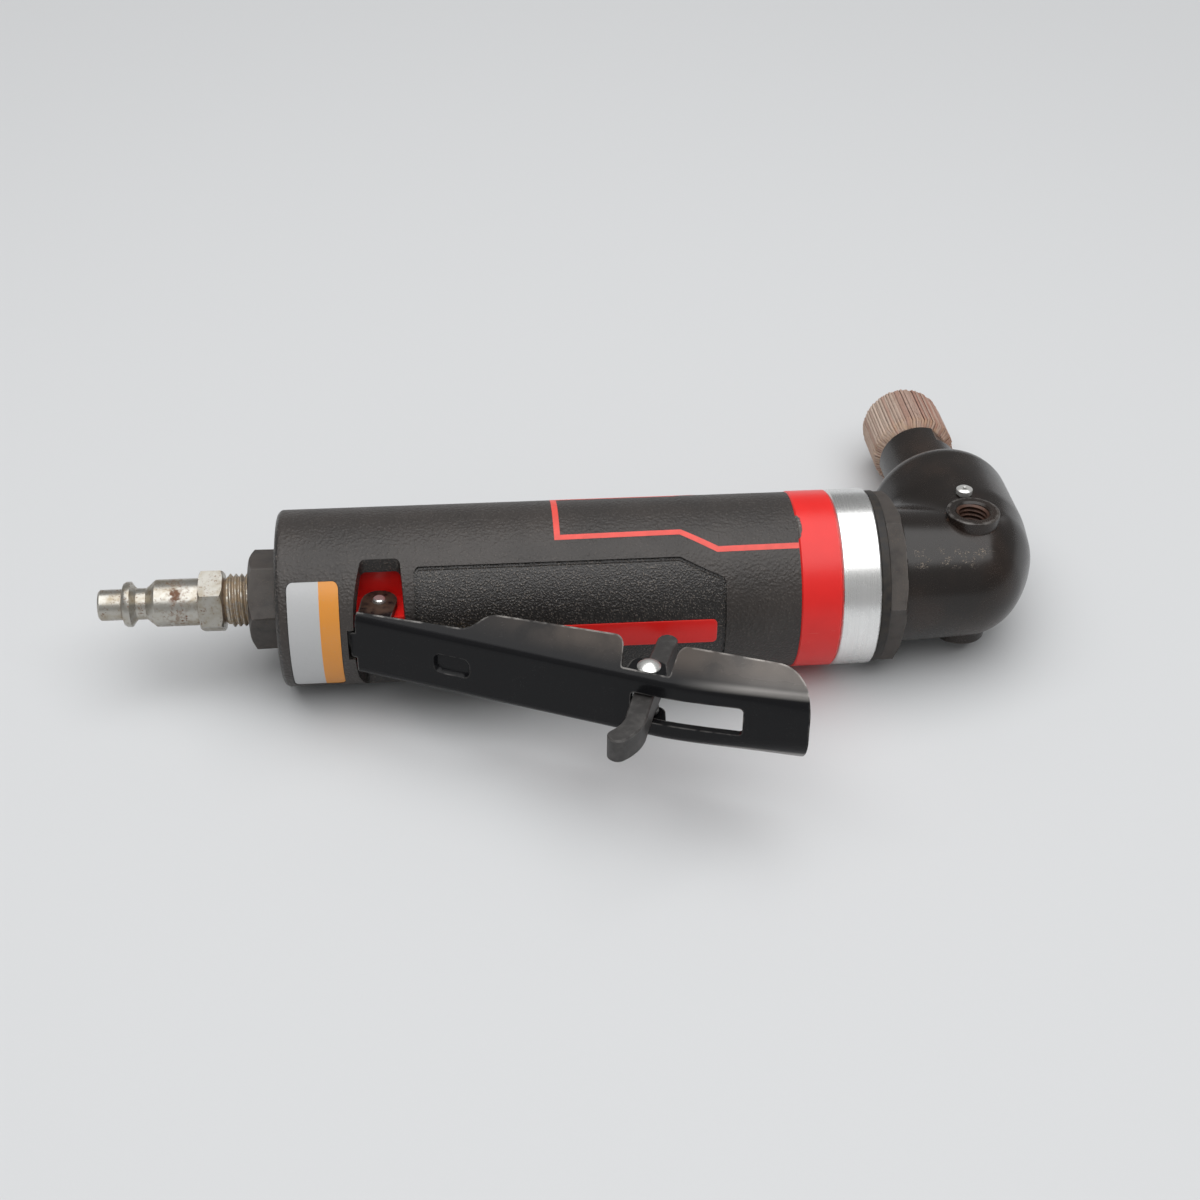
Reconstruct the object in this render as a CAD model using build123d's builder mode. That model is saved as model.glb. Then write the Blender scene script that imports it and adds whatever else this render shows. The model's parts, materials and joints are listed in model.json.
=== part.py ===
from build123d import *
import os
from math import asin, atan2, cos, degrees, hypot, radians, sin, tan

os.makedirs("parts", exist_ok=True)

# The tool is drawn on its own axes in millimetres and laid on the table at the end.
# X runs along the motor to the head, Y along the spindle to the wheel, Z through the handle bosses.

# Stations along the motor axis
plug_tip = -127.0
plug_collar = -121.1
plug_groove = -117.8
plug_hex_start = -101.5
plug_hex_end = -95.6
plug_end = -79.5
bushing_start = -88.8
grip_rear = -81.15
muffler_end = -74.0
plenum_start = -65.9
plenum_end = -60.0
motor_back = -14.0
cylinder_start = -3.95
cylinder_end = 40.0
tail_start = 50.0
grip_front = 48.5
band_end = 58.8
ring_end = 68.7
spacer_end = 71.25
nut_end = 76.1

# Outside sizes of the handle
grip_radius = 22.48
sleeve_bore = 19.45
body_radius = 19.4
ring_radius = 22.7
bushing_flats = 22.2
plug_flats = 14.3
nut_flats = 38.1
tail_radius = 14.95
motor_bore = 17.05
strip_x = -1.3
strip_length = 57.4
strip_width = 6.7
panel_depth = 0.25
groove_depth = 0.65
groove_width = 0.9

# Air valve, set across the handle
valve_x = -35.7
stem_radius = 2.4
stem_tip = -29.75
seat_face = 4.0
feed_y = 6.5
gallery_y = -10.5
exhaust_ports = [(0, 13.6), (0, -13.6), (8.7, 10.4), (8.7, -10.4)]

# Lever, drawn in its own plane: first number towards the tip, second towards the grip
lever_pivot = (-56.0, -14.0)
lever_open = 24.0
face_depth = 9.87
sheet = 1.8
flange_splay = 37.0
flange_rise = 11.0
face_half = 7.75
dimple_x = 23.3
latch_pivot = (71.5, -3.97)
latch_width = 5.0
latch_half = 3.15
tongue_half = 5.55
ear_inner = 5.8

# Head and spindle
spindle_x = 95.7
barrel_radius = 17.5
barrel_end_radius = 15.9
barrel_nose = 112.4
nose_round = 15.4
throat_radius = 16.4
bullet_radius = 19.0
taper_end = 20.0
shoulder = 37.3
shoulder_round = 8.0
head_blend = 8.0
boss_radius = 6.8
boss_reach = 18.6
handle_thread = 4.25
handle_depth = 5.9
nipple_y = 9.8
nipple_seat = 18.02
neck_radius = 10.5
neck_end = 42.6
nut_nose = 59.6
collet_nut_radius = 10.6
flat_turn = 40.0
wheel_start = 60.5
wheel_end = 83.0
wheel_radius = 11.5
wheel_edge = 3.0
shank_radius = 3.17

# Bevel pair
pinion_teeth = 12
gear_teeth = 16
pinion_pitch = 7.875
gear_pitch = pinion_pitch * gear_teeth / pinion_teeth
cone_distance = hypot(pinion_pitch, gear_pitch)
pinion_angle = degrees(atan2(pinion_pitch, gear_pitch))
tooth_face = 4.2
addendum = 1.15
dedendum = 1.5
tooth_half = 0.8

apex = Vector(spindle_x, 0, 0)
spindle_axis = Axis((spindle_x, 0, 0), (0, 1, 0))
spindle_plane = Plane(origin=(spindle_x, 0, 0), x_dir=(0, 1, 0), z_dir=(0, 0, 1))
valve_axis = Axis((valve_x, 0, 0), (0, 1, 0))
valve_plane = Plane(origin=(valve_x, 0, 0), x_dir=(0, 1, 0), z_dir=(0, 0, 1))
lever_reach = (cos(radians(lever_open)), -sin(radians(lever_open)), 0)
lever_plane = Plane(origin=(*lever_pivot, 0), x_dir=lever_reach, z_dir=(0, 0, 1))
face_plane = Plane(origin=(*lever_pivot, 0), x_dir=lever_reach, z_dir=lever_plane.y_dir)
pieces = []


def section(*points, plane=Plane.XY, radius=0):
    with BuildSketch(plane) as face:
        with BuildLine():
            FilletPolyline(*points, radius=radius, close=True)
        make_face()
    return face.sketch


def ring(start, end, inner, outer, plane=Plane.XY, ease=0):
    with BuildSketch(plane) as face:
        with BuildLine():
            Polyline((start, inner), (start, outer), (end, outer), (end, inner), close=True)
        make_face()
        if ease:
            chamfer(face.vertices().group_by(Axis.Y if plane == Plane.XY else Axis.X)[-1], ease)
    return face.sketch


def race(start, end, shield, outer, plane=Plane.XY):
    land = shield + 0.6 * (outer - shield)
    return section(
        (start, shield), (start, outer), (end, outer), (end, shield),
        (end - 0.6, shield), (end - 0.6, land), (start + 0.6, land), (start + 0.6, shield),
        plane=plane,
    )


def bevel_tooth(out, mesh, pitch_angle):
    along = out * cos(radians(pitch_angle)) + mesh * sin(radians(pitch_angle))
    outward = mesh * cos(radians(pitch_angle)) - out * sin(radians(pitch_angle))
    root = dedendum + 0.25
    top_half = tooth_half - addendum * tan(radians(20))
    root_half = tooth_half + root * tan(radians(20))
    with BuildPart() as tooth:
        for reach in (cone_distance - tooth_face, cone_distance):
            size = reach / cone_distance
            spot = Plane(apex + along * reach, x_dir=outward.cross(along), z_dir=along)
            with BuildSketch(spot):
                with BuildLine():
                    Polyline(
                        (-root_half * size, -root * size),
                        (-top_half * size, addendum * size),
                        (top_half * size, addendum * size),
                        (root_half * size, -root * size),
                        close=True,
                    )
                make_face()
        loft()
    return tooth.part


def channel(spot, heading, bend_radius):
    splay = flange_rise * tan(radians(flange_splay))
    with BuildSketch(Plane(spot, x_dir=(0, 0, -1), z_dir=heading)) as face:
        with BuildLine():
            FilletPolyline(
                (-face_half - splay, flange_rise), (-face_half, 0), (face_half, 0),
                (face_half + splay, flange_rise),
                radius=bend_radius,
            )
            offset(amount=sheet, side=Side.LEFT)
        make_face()
    return face.sketch


def keep(builder, label):
    builder.part.label = label
    pieces.append(builder.part)


# Air plug: quick coupling nose, collar, hex and taper thread
with BuildPart() as air_plug:
    revolve(
        section(
            (plug_tip, 2.8), (plug_tip, 3.5), (plug_tip + 0.5, 3.95), (plug_collar, 3.95),
            (plug_collar + 0.5, 5.4), (plug_collar + 1.2, 5.75), (plug_groove - 1.0, 5.75),
            (plug_groove - 0.2, 4.6), (plug_groove + 0.4, 4.0), (plug_groove + 2.8, 4.0),
            (plug_groove + 5.2, 6.0), (plug_hex_end + 0.2, 6.0), (plug_hex_end + 1.0, 6.8),
            (plug_end, 6.3), (plug_end, 2.8),
        ),
        axis=Axis.X,
    )
    with BuildSketch(Plane.YZ.offset(plug_hex_start)) as hex_face:
        RegularPolygon(plug_flats / 2, 6, major_radius=False, rotation=78)
        Circle(2.8, mode=Mode.SUBTRACT)
    extrude(amount=plug_hex_end - plug_hex_start)
    revolve(
        section(
            (plug_hex_start, 7.4), (plug_hex_start, 9), (plug_hex_end, 9), (plug_hex_end, 7.4),
            (plug_hex_end - 0.6, 8.4), (plug_hex_start + 0.6, 8.4),
        ),
        axis=Axis.X,
        mode=Mode.SUBTRACT,
    )
keep(air_plug, "air_plug")

# Inlet bushing: hex head outside, spigot with a seal groove inside the handle
with BuildPart() as inlet_bushing:
    with BuildSketch(Plane.YZ.offset(bushing_start)):
        RegularPolygon(bushing_flats / 2, 6, major_radius=False, rotation=110)
    extrude(amount=grip_rear - 0.05 - bushing_start)
    revolve(
        section(
            (bushing_start, 10.9), (bushing_start, 14), (grip_rear, 14), (grip_rear, 12.6),
            (bushing_start + 1.1, 12.75),
        ),
        axis=Axis.X,
        mode=Mode.SUBTRACT,
    )
    revolve(ring(grip_rear - 0.1, plenum_start, 0, 9.5), axis=Axis.X)
    revolve(
        section(
            (bushing_start, 0), (bushing_start, 7.4), (bushing_start + 0.5, 6.9),
            (plug_end + 0.5, 6.4), (plug_end + 0.5, 6.0), (plenum_start, 6.0), (plenum_start, 0),
        ),
        axis=Axis.X,
        mode=Mode.SUBTRACT,
    )
    revolve(ring(-78.4, -76.8, 8.3, 10), axis=Axis.X, mode=Mode.SUBTRACT)
keep(inlet_bushing, "inlet_bushing")

with BuildPart() as inlet_seal:
    with BuildSketch(Plane.XY):
        with Locations((-77.6, 8.92)):
            Circle(0.6)
    revolve(axis=Axis.X)
keep(inlet_seal, "inlet_seal")

# Strainer cup in the bushing
with BuildPart() as inlet_screen:
    revolve(
        section(
            (-76.5, 5.4), (-76.5, 5.95), (-67.0, 5.95), (-66.4, 5.3), (-66.4, 0), (-67.0, 0),
            (-67.0, 5.0), (-67.3, 5.4),
        ),
        axis=Axis.X,
    )
    with BuildSketch(Plane.YZ.offset(-68)):
        with PolarLocations(3.2, 6):
            Circle(0.9)
        Circle(0.9)
    extrude(amount=3, mode=Mode.SUBTRACT)
keep(inlet_screen, "inlet_screen")

# Exhaust at the rear: slotted cover over a felt ring
with BuildPart() as exhaust_cover:
    revolve(ring(grip_rear, grip_rear + 2, 11.45, 18.1), axis=Axis.X)
    with BuildSketch(Plane.YZ.offset(grip_rear)):
        with PolarLocations(15.6, 12, start_angle=15):
            SlotOverall(4.2, 2.6)
    extrude(amount=2, mode=Mode.SUBTRACT)
keep(exhaust_cover, "exhaust_cover")

with BuildPart() as exhaust_muffler:
    revolve(ring(grip_rear + 2.05, muffler_end - 0.05, 11.5, 18.1), axis=Axis.X)
keep(exhaust_muffler, "exhaust_muffler")

# Handle body: one casting with the air ways, the motor bore, the lever tongue and the front band
with BuildPart() as handle_body:
    revolve(
        section(
            (grip_rear, 0), (grip_rear, body_radius), (grip_front, body_radius),
            (grip_front, ring_radius - 0.4), (grip_front + 0.4, ring_radius),
            (band_end - 0.4, ring_radius), (band_end, ring_radius - 0.4), (band_end, 0),
        ),
        axis=Axis.X,
    )
    with BuildSketch(Plane.XZ.offset(body_radius - 0.7)):
        with Locations((strip_x, 0)):
            RectangleRounded(strip_length, strip_width, 1.2)
    strip = extrude(amount=6, mode=Mode.PRIVATE)
    add(strip & Cylinder(grip_radius - 0.03, 240, rotation=(0, 90, 0), mode=Mode.PRIVATE))
    revolve(
        section(
            (grip_rear, 0), (grip_rear, 9.55), (plenum_start, 9.55), (plenum_start, 8),
            (plenum_end, 8), (plenum_end, 0),
        ),
        axis=Axis.X,
        mode=Mode.SUBTRACT,
    )
    revolve(ring(motor_back, band_end, 0, motor_bore), axis=Axis.X, mode=Mode.SUBTRACT)
    revolve(ring(grip_rear, muffler_end, 11.4, 18.2), axis=Axis.X, mode=Mode.SUBTRACT)
    with BuildSketch(Plane.YZ.offset(muffler_end)):
        with Locations(*exhaust_ports):
            Circle(2.3)
    extrude(amount=motor_back - muffler_end, mode=Mode.SUBTRACT)
    with BuildSketch(Plane.YZ.offset(plenum_end)):
        with Locations((feed_y, 0)):
            Circle(2.4)
    extrude(amount=valve_x - plenum_end, mode=Mode.SUBTRACT)
    with BuildSketch(Plane.YZ.offset(valve_x)):
        with Locations((gallery_y, 0)):
            Circle(2.2)
    extrude(amount=motor_back - valve_x, mode=Mode.SUBTRACT)
    revolve(
        section(
            (-25, 0), (-25, 5.0), (-12, 5.0), (-12, 4.0), (2, 4.0), (2, 6.4), (25, 6.4), (25, 0),
            plane=valve_plane,
        ),
        axis=valve_axis,
        mode=Mode.SUBTRACT,
    )
    for side in (1, -1):
        with BuildSketch(Plane.XY.offset(side * (tongue_half + 10))):
            with BuildLine():
                Polyline((-62, -9.2), (-62, -25), (-50, -25), (-50, -9.2), close=True)
            make_face()
        extrude(amount=10, both=True, mode=Mode.SUBTRACT)
    with BuildSketch(Plane.XY.offset(-tongue_half)):
        with Locations(lever_pivot):
            Circle(1.52)
    extrude(amount=2 * tongue_half, mode=Mode.SUBTRACT)
keep(handle_body, "handle_body")

# Grip sleeve over the body, with a recessed panel and an opening for the lever yoke
with BuildPart() as grip_sleeve:
    revolve(ring(grip_rear, grip_front, sleeve_bore, grip_radius), axis=Axis.X)
    rear_edges = grip_sleeve.edges().filter_by(GeomType.CIRCLE).group_by(Axis.X)[0]
    fillet(rear_edges.sort_by(SortBy.RADIUS)[-1], 1.6)
    with BuildSketch(Plane.XZ, mode=Mode.PRIVATE) as panel_face:
        with BuildLine():
            FilletPolyline(
                (-47.2, 17.3), (18.6, 17.3), (29.7, 13.1), (29.7, -13.1), (18.6, -17.3), (-47.2, -17.3),
                radius=1.5, close=True,
            )
        make_face()
    with BuildSketch(Plane.XZ, mode=Mode.PRIVATE) as field_face:
        add(panel_face.sketch)
        offset(amount=-groove_width, mode=Mode.REPLACE)
    panel = extrude(panel_face.sketch, amount=30, mode=Mode.PRIVATE)
    field = extrude(field_face.sketch, amount=30, mode=Mode.PRIVATE)
    with BuildSketch(Plane.XZ):
        with Locations((-71.85, 0)):
            RectangleRounded(12.9, 30.8, 1.5)
    plate = extrude(amount=30, mode=Mode.PRIVATE)
    groove_floor = Cylinder(grip_radius - groove_depth, 240, rotation=(0, 90, 0), mode=Mode.PRIVATE)
    field_floor = Cylinder(grip_radius - panel_depth, 240, rotation=(0, 90, 0), mode=Mode.PRIVATE)
    add([panel - field - groove_floor, field - field_floor, plate - field_floor], mode=Mode.SUBTRACT)
    with BuildSketch(Plane.XY):
        with BuildLine():
            FilletPolyline(
                (-60, -12.45), (-62.0, -19.4), (-62.6, -24), (-49.3, -24), (-49.6, -21), (-50.5, -12.45),
                radius=[1.4, 0, 0, 0, 0, 1.4], close=True,
            )
        make_face()
    extrude(amount=25, both=True, mode=Mode.SUBTRACT)
    with BuildSketch(Plane.XZ.offset(19)):
        with Locations((-62.3, 0)):
            Rectangle(3.2, 8.6)
        with Locations((valve_x, 0)):
            Circle(3.4)
        with Locations((strip_x, 0)):
            RectangleRounded(strip_length + 0.1, strip_width + 0.1, 1.25)
    extrude(amount=6, mode=Mode.SUBTRACT)
keep(grip_sleeve, "grip_sleeve")

# Throttle valve: stem through a sealed bushing, seat, rubber washer, spring and cap
with BuildPart() as throttle_bushing:
    revolve(ring(-18.7, -12.02, 2.45, 4.95, plane=valve_plane), axis=valve_axis)
    revolve(ring(-15.6, -13.6, 2, 3.5, plane=valve_plane), axis=valve_axis, mode=Mode.SUBTRACT)
keep(throttle_bushing, "throttle_bushing")

with BuildPart() as stem_seal:
    with BuildSketch(valve_plane):
        with Locations((-14.6, 2.98)):
            Circle(0.49)
    revolve(axis=valve_axis)
keep(stem_seal, "stem_seal")

with BuildPart() as valve_seat:
    revolve(ring(2.02, seat_face, 3.4, 6.35, plane=valve_plane), axis=valve_axis)
keep(valve_seat, "valve_seat")

with BuildPart() as valve_stem:
    revolve(
        section(
            (stem_tip, 0), (stem_tip, stem_radius), (1.5, stem_radius), (2.5, 1.8), (seat_face + 1.1, 1.8),
            (seat_face + 1.1, 4.8), (seat_face + 2.3, 4.8), (seat_face + 2.3, 2.4), (seat_face + 4, 2.4),
            (seat_face + 4, 0),
            plane=valve_plane, radius=[0, 2.3, 0, 0, 0, 0, 0, 0, 0, 0],
        ),
        axis=valve_axis,
    )
keep(valve_stem, "valve_stem")

with BuildPart() as valve_washer:
    revolve(ring(seat_face + 0.03, seat_face + 1.08, 1.82, 4.9, plane=valve_plane), axis=valve_axis)
keep(valve_washer, "valve_washer")

with BuildPart() as valve_spring:
    with BuildLine() as coil:
        Helix(2.1, 9.9, 3.4, center=(valve_x, seat_face + 2.75, 0), direction=(0, 1, 0))
    with BuildSketch(Plane(coil.line @ 0, x_dir=(0, 1, 0), z_dir=coil.line % 0)):
        Rectangle(0.8, 0.8)
    sweep(path=coil.line, is_frenet=True)
keep(valve_spring, "valve_spring")

with BuildPart() as valve_plug:
    revolve(
        section(
            (13.0, 4.6), (13.0, 6.35), (17.8, 6.35), (18.3, 5.85), (18.3, 0), (17.2, 0), (17.2, 4.6),
            plane=valve_plane,
        ),
        axis=valve_axis,
    )
keep(valve_plug, "valve_plug")

# Throttle lever: a stamped channel with splayed flanges, its bends opening out into a dished tip
with BuildPart() as throttle_lever:
    with BuildLine(lever_plane, mode=Mode.PRIVATE) as spine:
        straight = Line((-3.6, -face_depth), (74, -face_depth))
        bend = JernArc(straight @ 1, straight % 1, 79, 8)
        tip = Line(bend @ 1, bend @ 1 + (bend % 1) * 30)
    extrude(channel(straight @ 0, straight % 0, 2.6), amount=straight.length)
    loft([
        channel(straight @ 1, straight % 1, 2.6), channel(bend @ 0.5, bend % 0.5, 2.75),
        channel(tip @ 0, tip % 0, 3.4), channel(tip @ 0.45, tip % 0, 6.0), channel(tip @ 1, tip % 1, 10.5),
    ])
    with BuildSketch(lever_plane):
        with BuildLine():
            FilletPolyline(
                (-4, -11), (-4, -8.35), (26.6, -7.05), (31.0, -3.15), (64.6, -1.85), (65.95, -8.05),
                (77.9, -8.05), (78.35, -1.65), (107.0, 0.95), (112.6, -7.5), (112.6, -11),
                radius=[0, 0, 6, 6, 2.6, 0.6, 0.6, 2.4, 9, 0, 0], close=True,
            )
        make_face()
    extrude(amount=25, both=True, mode=Mode.INTERSECT)
    with BuildSketch(face_plane):
        with BuildLine():
            FilletPolyline(
                (-3.6, 3.6), (-2.1, 3.6), (-2.1, 18), (96, 18), (112.2, 12.6),
                (112.2, -12.6), (96, -18), (-2.1, -18), (-2.1, -3.6), (-3.6, -3.6),
                radius=[0.8, 0, 0, 0, 7.5, 7.5, 0, 0, 0, 0.8], close=True,
            )
        make_face()
    extrude(amount=15, both=True, mode=Mode.INTERSECT)
    for base in (ear_inner, -ear_inner - sheet):
        with BuildSketch(lever_plane.offset(base)):
            with BuildLine():
                CenterArc((0, 0), 4.4, 0, 360)
                Line((-2.1, -8.6), (6.4, -8.6))
            make_hull()
        extrude(amount=sheet)
        with BuildSketch(lever_plane.offset(base)):
            with BuildLine():
                CenterArc((latch_pivot[0] - 2.2, latch_pivot[1] + 0.4), 2.6, 0, 360)
                CenterArc((latch_pivot[0] + 1.6, latch_pivot[1] + 0.4), 2.6, 0, 360)
                Line((66.6, -8.6), (77.6, -8.6))
            make_hull()
        extrude(amount=sheet)
    with BuildSketch(lever_plane):
        with Locations((0, 0)):
            Circle(1.56)
        with Locations(latch_pivot):
            Circle(1.62)
    extrude(amount=20, both=True, mode=Mode.SUBTRACT)
    with BuildSketch(face_plane.offset(-12)):
        with Locations((82.35, 0)):
            RectangleRounded(26.9, 7.8, 1.2)
    extrude(amount=8, mode=Mode.SUBTRACT)
    with BuildSketch(face_plane.offset(sheet - face_depth - 0.1)):
        with Locations((dimple_x, 0)):
            RectangleRounded(10.8, 7.0, 2.6)
    extrude(amount=1.6)
    with BuildSketch(face_plane.offset(-face_depth)):
        with Locations((dimple_x, 0)):
            RectangleRounded(9.4, 5.6, 1.9)
    extrude(amount=1.1, taper=30, mode=Mode.SUBTRACT)
keep(throttle_lever, "throttle_lever")

with BuildPart() as lever_pin:
    with BuildSketch(Plane.XY.offset(-8.4)):
        with Locations(lever_pivot):
            Circle(1.5)
    extrude(amount=16.8)
    chamfer(lever_pin.edges(), 0.3)
keep(lever_pin, "lever_pin")

# Lock-off latch: a bar that stands through the window and must be folded before the lever can close
latch_line = lever_plane.offset(-latch_half)
with BuildPart() as safety_latch:
    with BuildSketch(latch_line):
        with BuildLine(mode=Mode.PRIVATE) as latch_spine:
            arm = Line((70.45, 14.2), (71.6, -4))
            shin = TangentArc((71.6, -4), (73.0, -17.5), tangent=arm % 1)
            TangentArc((73.0, -17.5), (71.2, -25.5), tangent=shin % 1)
        SlotArc(latch_spine.wire(), latch_width)
        with Locations(latch_pivot):
            Circle(1.66, mode=Mode.SUBTRACT)
    extrude(amount=2 * latch_half)
    chamfer([face.outer_wire().edges() for face in safety_latch.faces().filter_by(Axis.Z)], 0.35)
keep(safety_latch, "safety_latch")

with BuildPart() as latch_pin:
    with BuildSketch(lever_plane.offset(-ear_inner - sheet - 0.9)):
        with Locations(latch_pivot):
            Circle(1.6)
    extrude(amount=2 * (ear_inner + sheet + 0.9))
    head_spot = lever_plane.from_local_coords(Vector(*latch_pivot, ear_inner + sheet + 0.02))
    with BuildSketch(Plane(head_spot, x_dir=(1, 0, 0), z_dir=(0, -1, 0))):
        with BuildLine():
            TangentArc((0, 1.6), (3.6, 0.3), tangent=(1, 0))
            Polyline((3.6, 0.3), (3.6, 0), (0, 0), (0, 1.6))
        make_face()
    revolve(axis=Axis(head_spot, (0, 0, 1)))
keep(latch_pin, "latch_pin")

with BuildPart() as latch_spring:
    with BuildLine() as wire:
        pin_spot = lever_plane.from_local_coords((*latch_pivot, -5.5))
        turns = Helix(0.6, 1.2, 2.4, center=pin_spot, direction=(0, 0, 1))
        Line(turns @ 1, turns @ 1 + (turns % 1) * 9)
    with BuildSketch(Plane(wire.line @ 0, x_dir=(0, 0, 1), z_dir=wire.line % 0)):
        Rectangle(0.45, 0.45)
    sweep(path=wire.line, is_frenet=True)
keep(latch_spring, "latch_spring")

# Air motor: housing with the bright front ring, cylinder, end plates, rotor and vanes
with BuildPart() as motor_housing:
    revolve(
        section(
            (motor_back + 0.1, 0), (motor_back + 0.1, 17), (band_end + 0.05, 17),
            (band_end + 0.05, ring_radius - 0.4), (band_end + 0.45, ring_radius),
            (ring_end - 0.4, ring_radius), (ring_end, ring_radius - 0.4), (ring_end, 15),
            (motor_back + 2.1, 15), (motor_back + 2.1, 0),
        ),
        axis=Axis.X,
    )
    with BuildSketch(Plane.YZ.offset(motor_back)):
        with Locations(*exhaust_ports):
            Circle(2.3)
        with Locations((gallery_y, 0)):
            Circle(2.2)
    extrude(amount=2.2, mode=Mode.SUBTRACT)
keep(motor_housing, "motor_housing")

plate_start = motor_back + 2.15
with BuildPart() as rear_end_plate:
    revolve(
        section(
            (plate_start, 9.52), (plate_start, tail_radius), (cylinder_start - 0.05, tail_radius),
            (cylinder_start - 0.05, 4.0), (-5.7, 4.0), (-5.7, 9.52),
        ),
        axis=Axis.X,
    )
    with BuildSketch(Plane.YZ.offset(plate_start)):
        with Locations((-12.2, 0)):
            Circle(1.8)
        with Locations((0, -13.3)):
            Circle(1.02)
    extrude(amount=12, mode=Mode.SUBTRACT)
keep(rear_end_plate, "rear_end_plate")

with BuildPart() as motor_cylinder:
    with BuildSketch(Plane.YZ.offset(cylinder_start)):
        Circle(tail_radius)
        with Locations((0, 0.8)):
            Circle(12.3, mode=Mode.SUBTRACT)
        with Locations((0, -13.3)):
            Circle(1.02, mode=Mode.SUBTRACT)
    extrude(amount=cylinder_end - cylinder_start)
    with BuildSketch(Plane.XZ.offset(-20)):
        with Locations((10, 4), (18, 4), (26, 4)):
            SlotOverall(6, 2.4, rotation=90)
    extrude(amount=12, mode=Mode.SUBTRACT)
keep(motor_cylinder, "motor_cylinder")

with BuildPart() as cylinder_pin:
    with BuildSketch(Plane.YZ.offset(plate_start + 0.5)):
        with Locations((0, -13.3)):
            Circle(1.0)
    extrude(amount=16)
keep(cylinder_pin, "cylinder_pin")

with BuildPart() as rotor:
    revolve(
        section(
            (plate_start + 0.4, 0), (plate_start + 0.4, 3.5), (cylinder_start + 0.1, 3.5),
            (cylinder_start + 0.1, 11.3), (cylinder_end - 0.1, 11.3), (cylinder_end - 0.1, 5.0),
            (57, 5.0), (57, 0),
        ),
        axis=Axis.X,
    )
    with BuildSketch(Plane.YZ.offset(cylinder_start)):
        with PolarLocations(9.0, 5):
            Rectangle(6.0, 1.6)
    extrude(amount=cylinder_end - cylinder_start, mode=Mode.SUBTRACT)
    with BuildSketch(Plane.YZ.offset(47)):
        RegularPolygon(2.5, 6, major_radius=False)
    extrude(amount=10, mode=Mode.SUBTRACT)
keep(rotor, "rotor")

with BuildPart() as rotor_vanes:
    with BuildSketch(Plane.YZ.offset(cylinder_start + 0.15)):
        with PolarLocations(8.65, 5):
            Rectangle(5.2, 1.5)
    extrude(amount=cylinder_end - cylinder_start - 0.3)
keep(rotor_vanes, "rotor_vanes")

with BuildPart() as front_end_plate:
    revolve(
        section(
            (cylinder_end + 0.05, 5.6), (cylinder_end + 0.05, tail_radius), (48, tail_radius), (48, 11.02),
            (41.0, 11.02), (41.0, 5.6),
        ),
        axis=Axis.X,
    )
keep(front_end_plate, "front_end_plate")

with BuildPart() as rear_bearing_outer:
    revolve(race(plate_start + 0.1, -5.75, 6.0, 9.5), axis=Axis.X)
keep(rear_bearing_outer, "rear_bearing_outer")

with BuildPart() as rear_bearing_inner:
    revolve(ring(plate_start + 0.1, -5.75, 3.52, 5.85), axis=Axis.X)
keep(rear_bearing_inner, "rear_bearing_inner")

with BuildPart() as front_bearing_outer:
    revolve(race(41.05, 48, 7.6, 11), axis=Axis.X)
keep(front_bearing_outer, "front_bearing_outer")

with BuildPart() as front_bearing_inner:
    revolve(ring(41.05, 48, 5.02, 7.45), axis=Axis.X)
keep(front_bearing_inner, "front_bearing_inner")

with BuildPart() as preload_washer:
    revolve(section((48.05, 10.9), (48.75, 10.9), (49.9, 8.3), (49.2, 8.3)), axis=Axis.X)
keep(preload_washer, "preload_washer")

with BuildPart() as spacer_ring:
    revolve(ring(ring_end + 0.05, spacer_end, 15, 22.1, ease=0.3), axis=Axis.X)
keep(spacer_ring, "spacer_ring")

with BuildPart() as clamp_nut:
    with BuildSketch(Plane.YZ.offset(spacer_end + 0.05)):
        RegularPolygon(nut_flats / 2, 6, major_radius=False, rotation=110.6)
        Circle(15, mode=Mode.SUBTRACT)
    extrude(amount=nut_end - spacer_end - 0.1)
    revolve(
        section(
            (nut_end, 19.6), (nut_end, 24), (nut_end - 1.9, 24),
        ),
        axis=Axis.X,
        mode=Mode.SUBTRACT,
    )
keep(clamp_nut, "clamp_nut")

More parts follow.
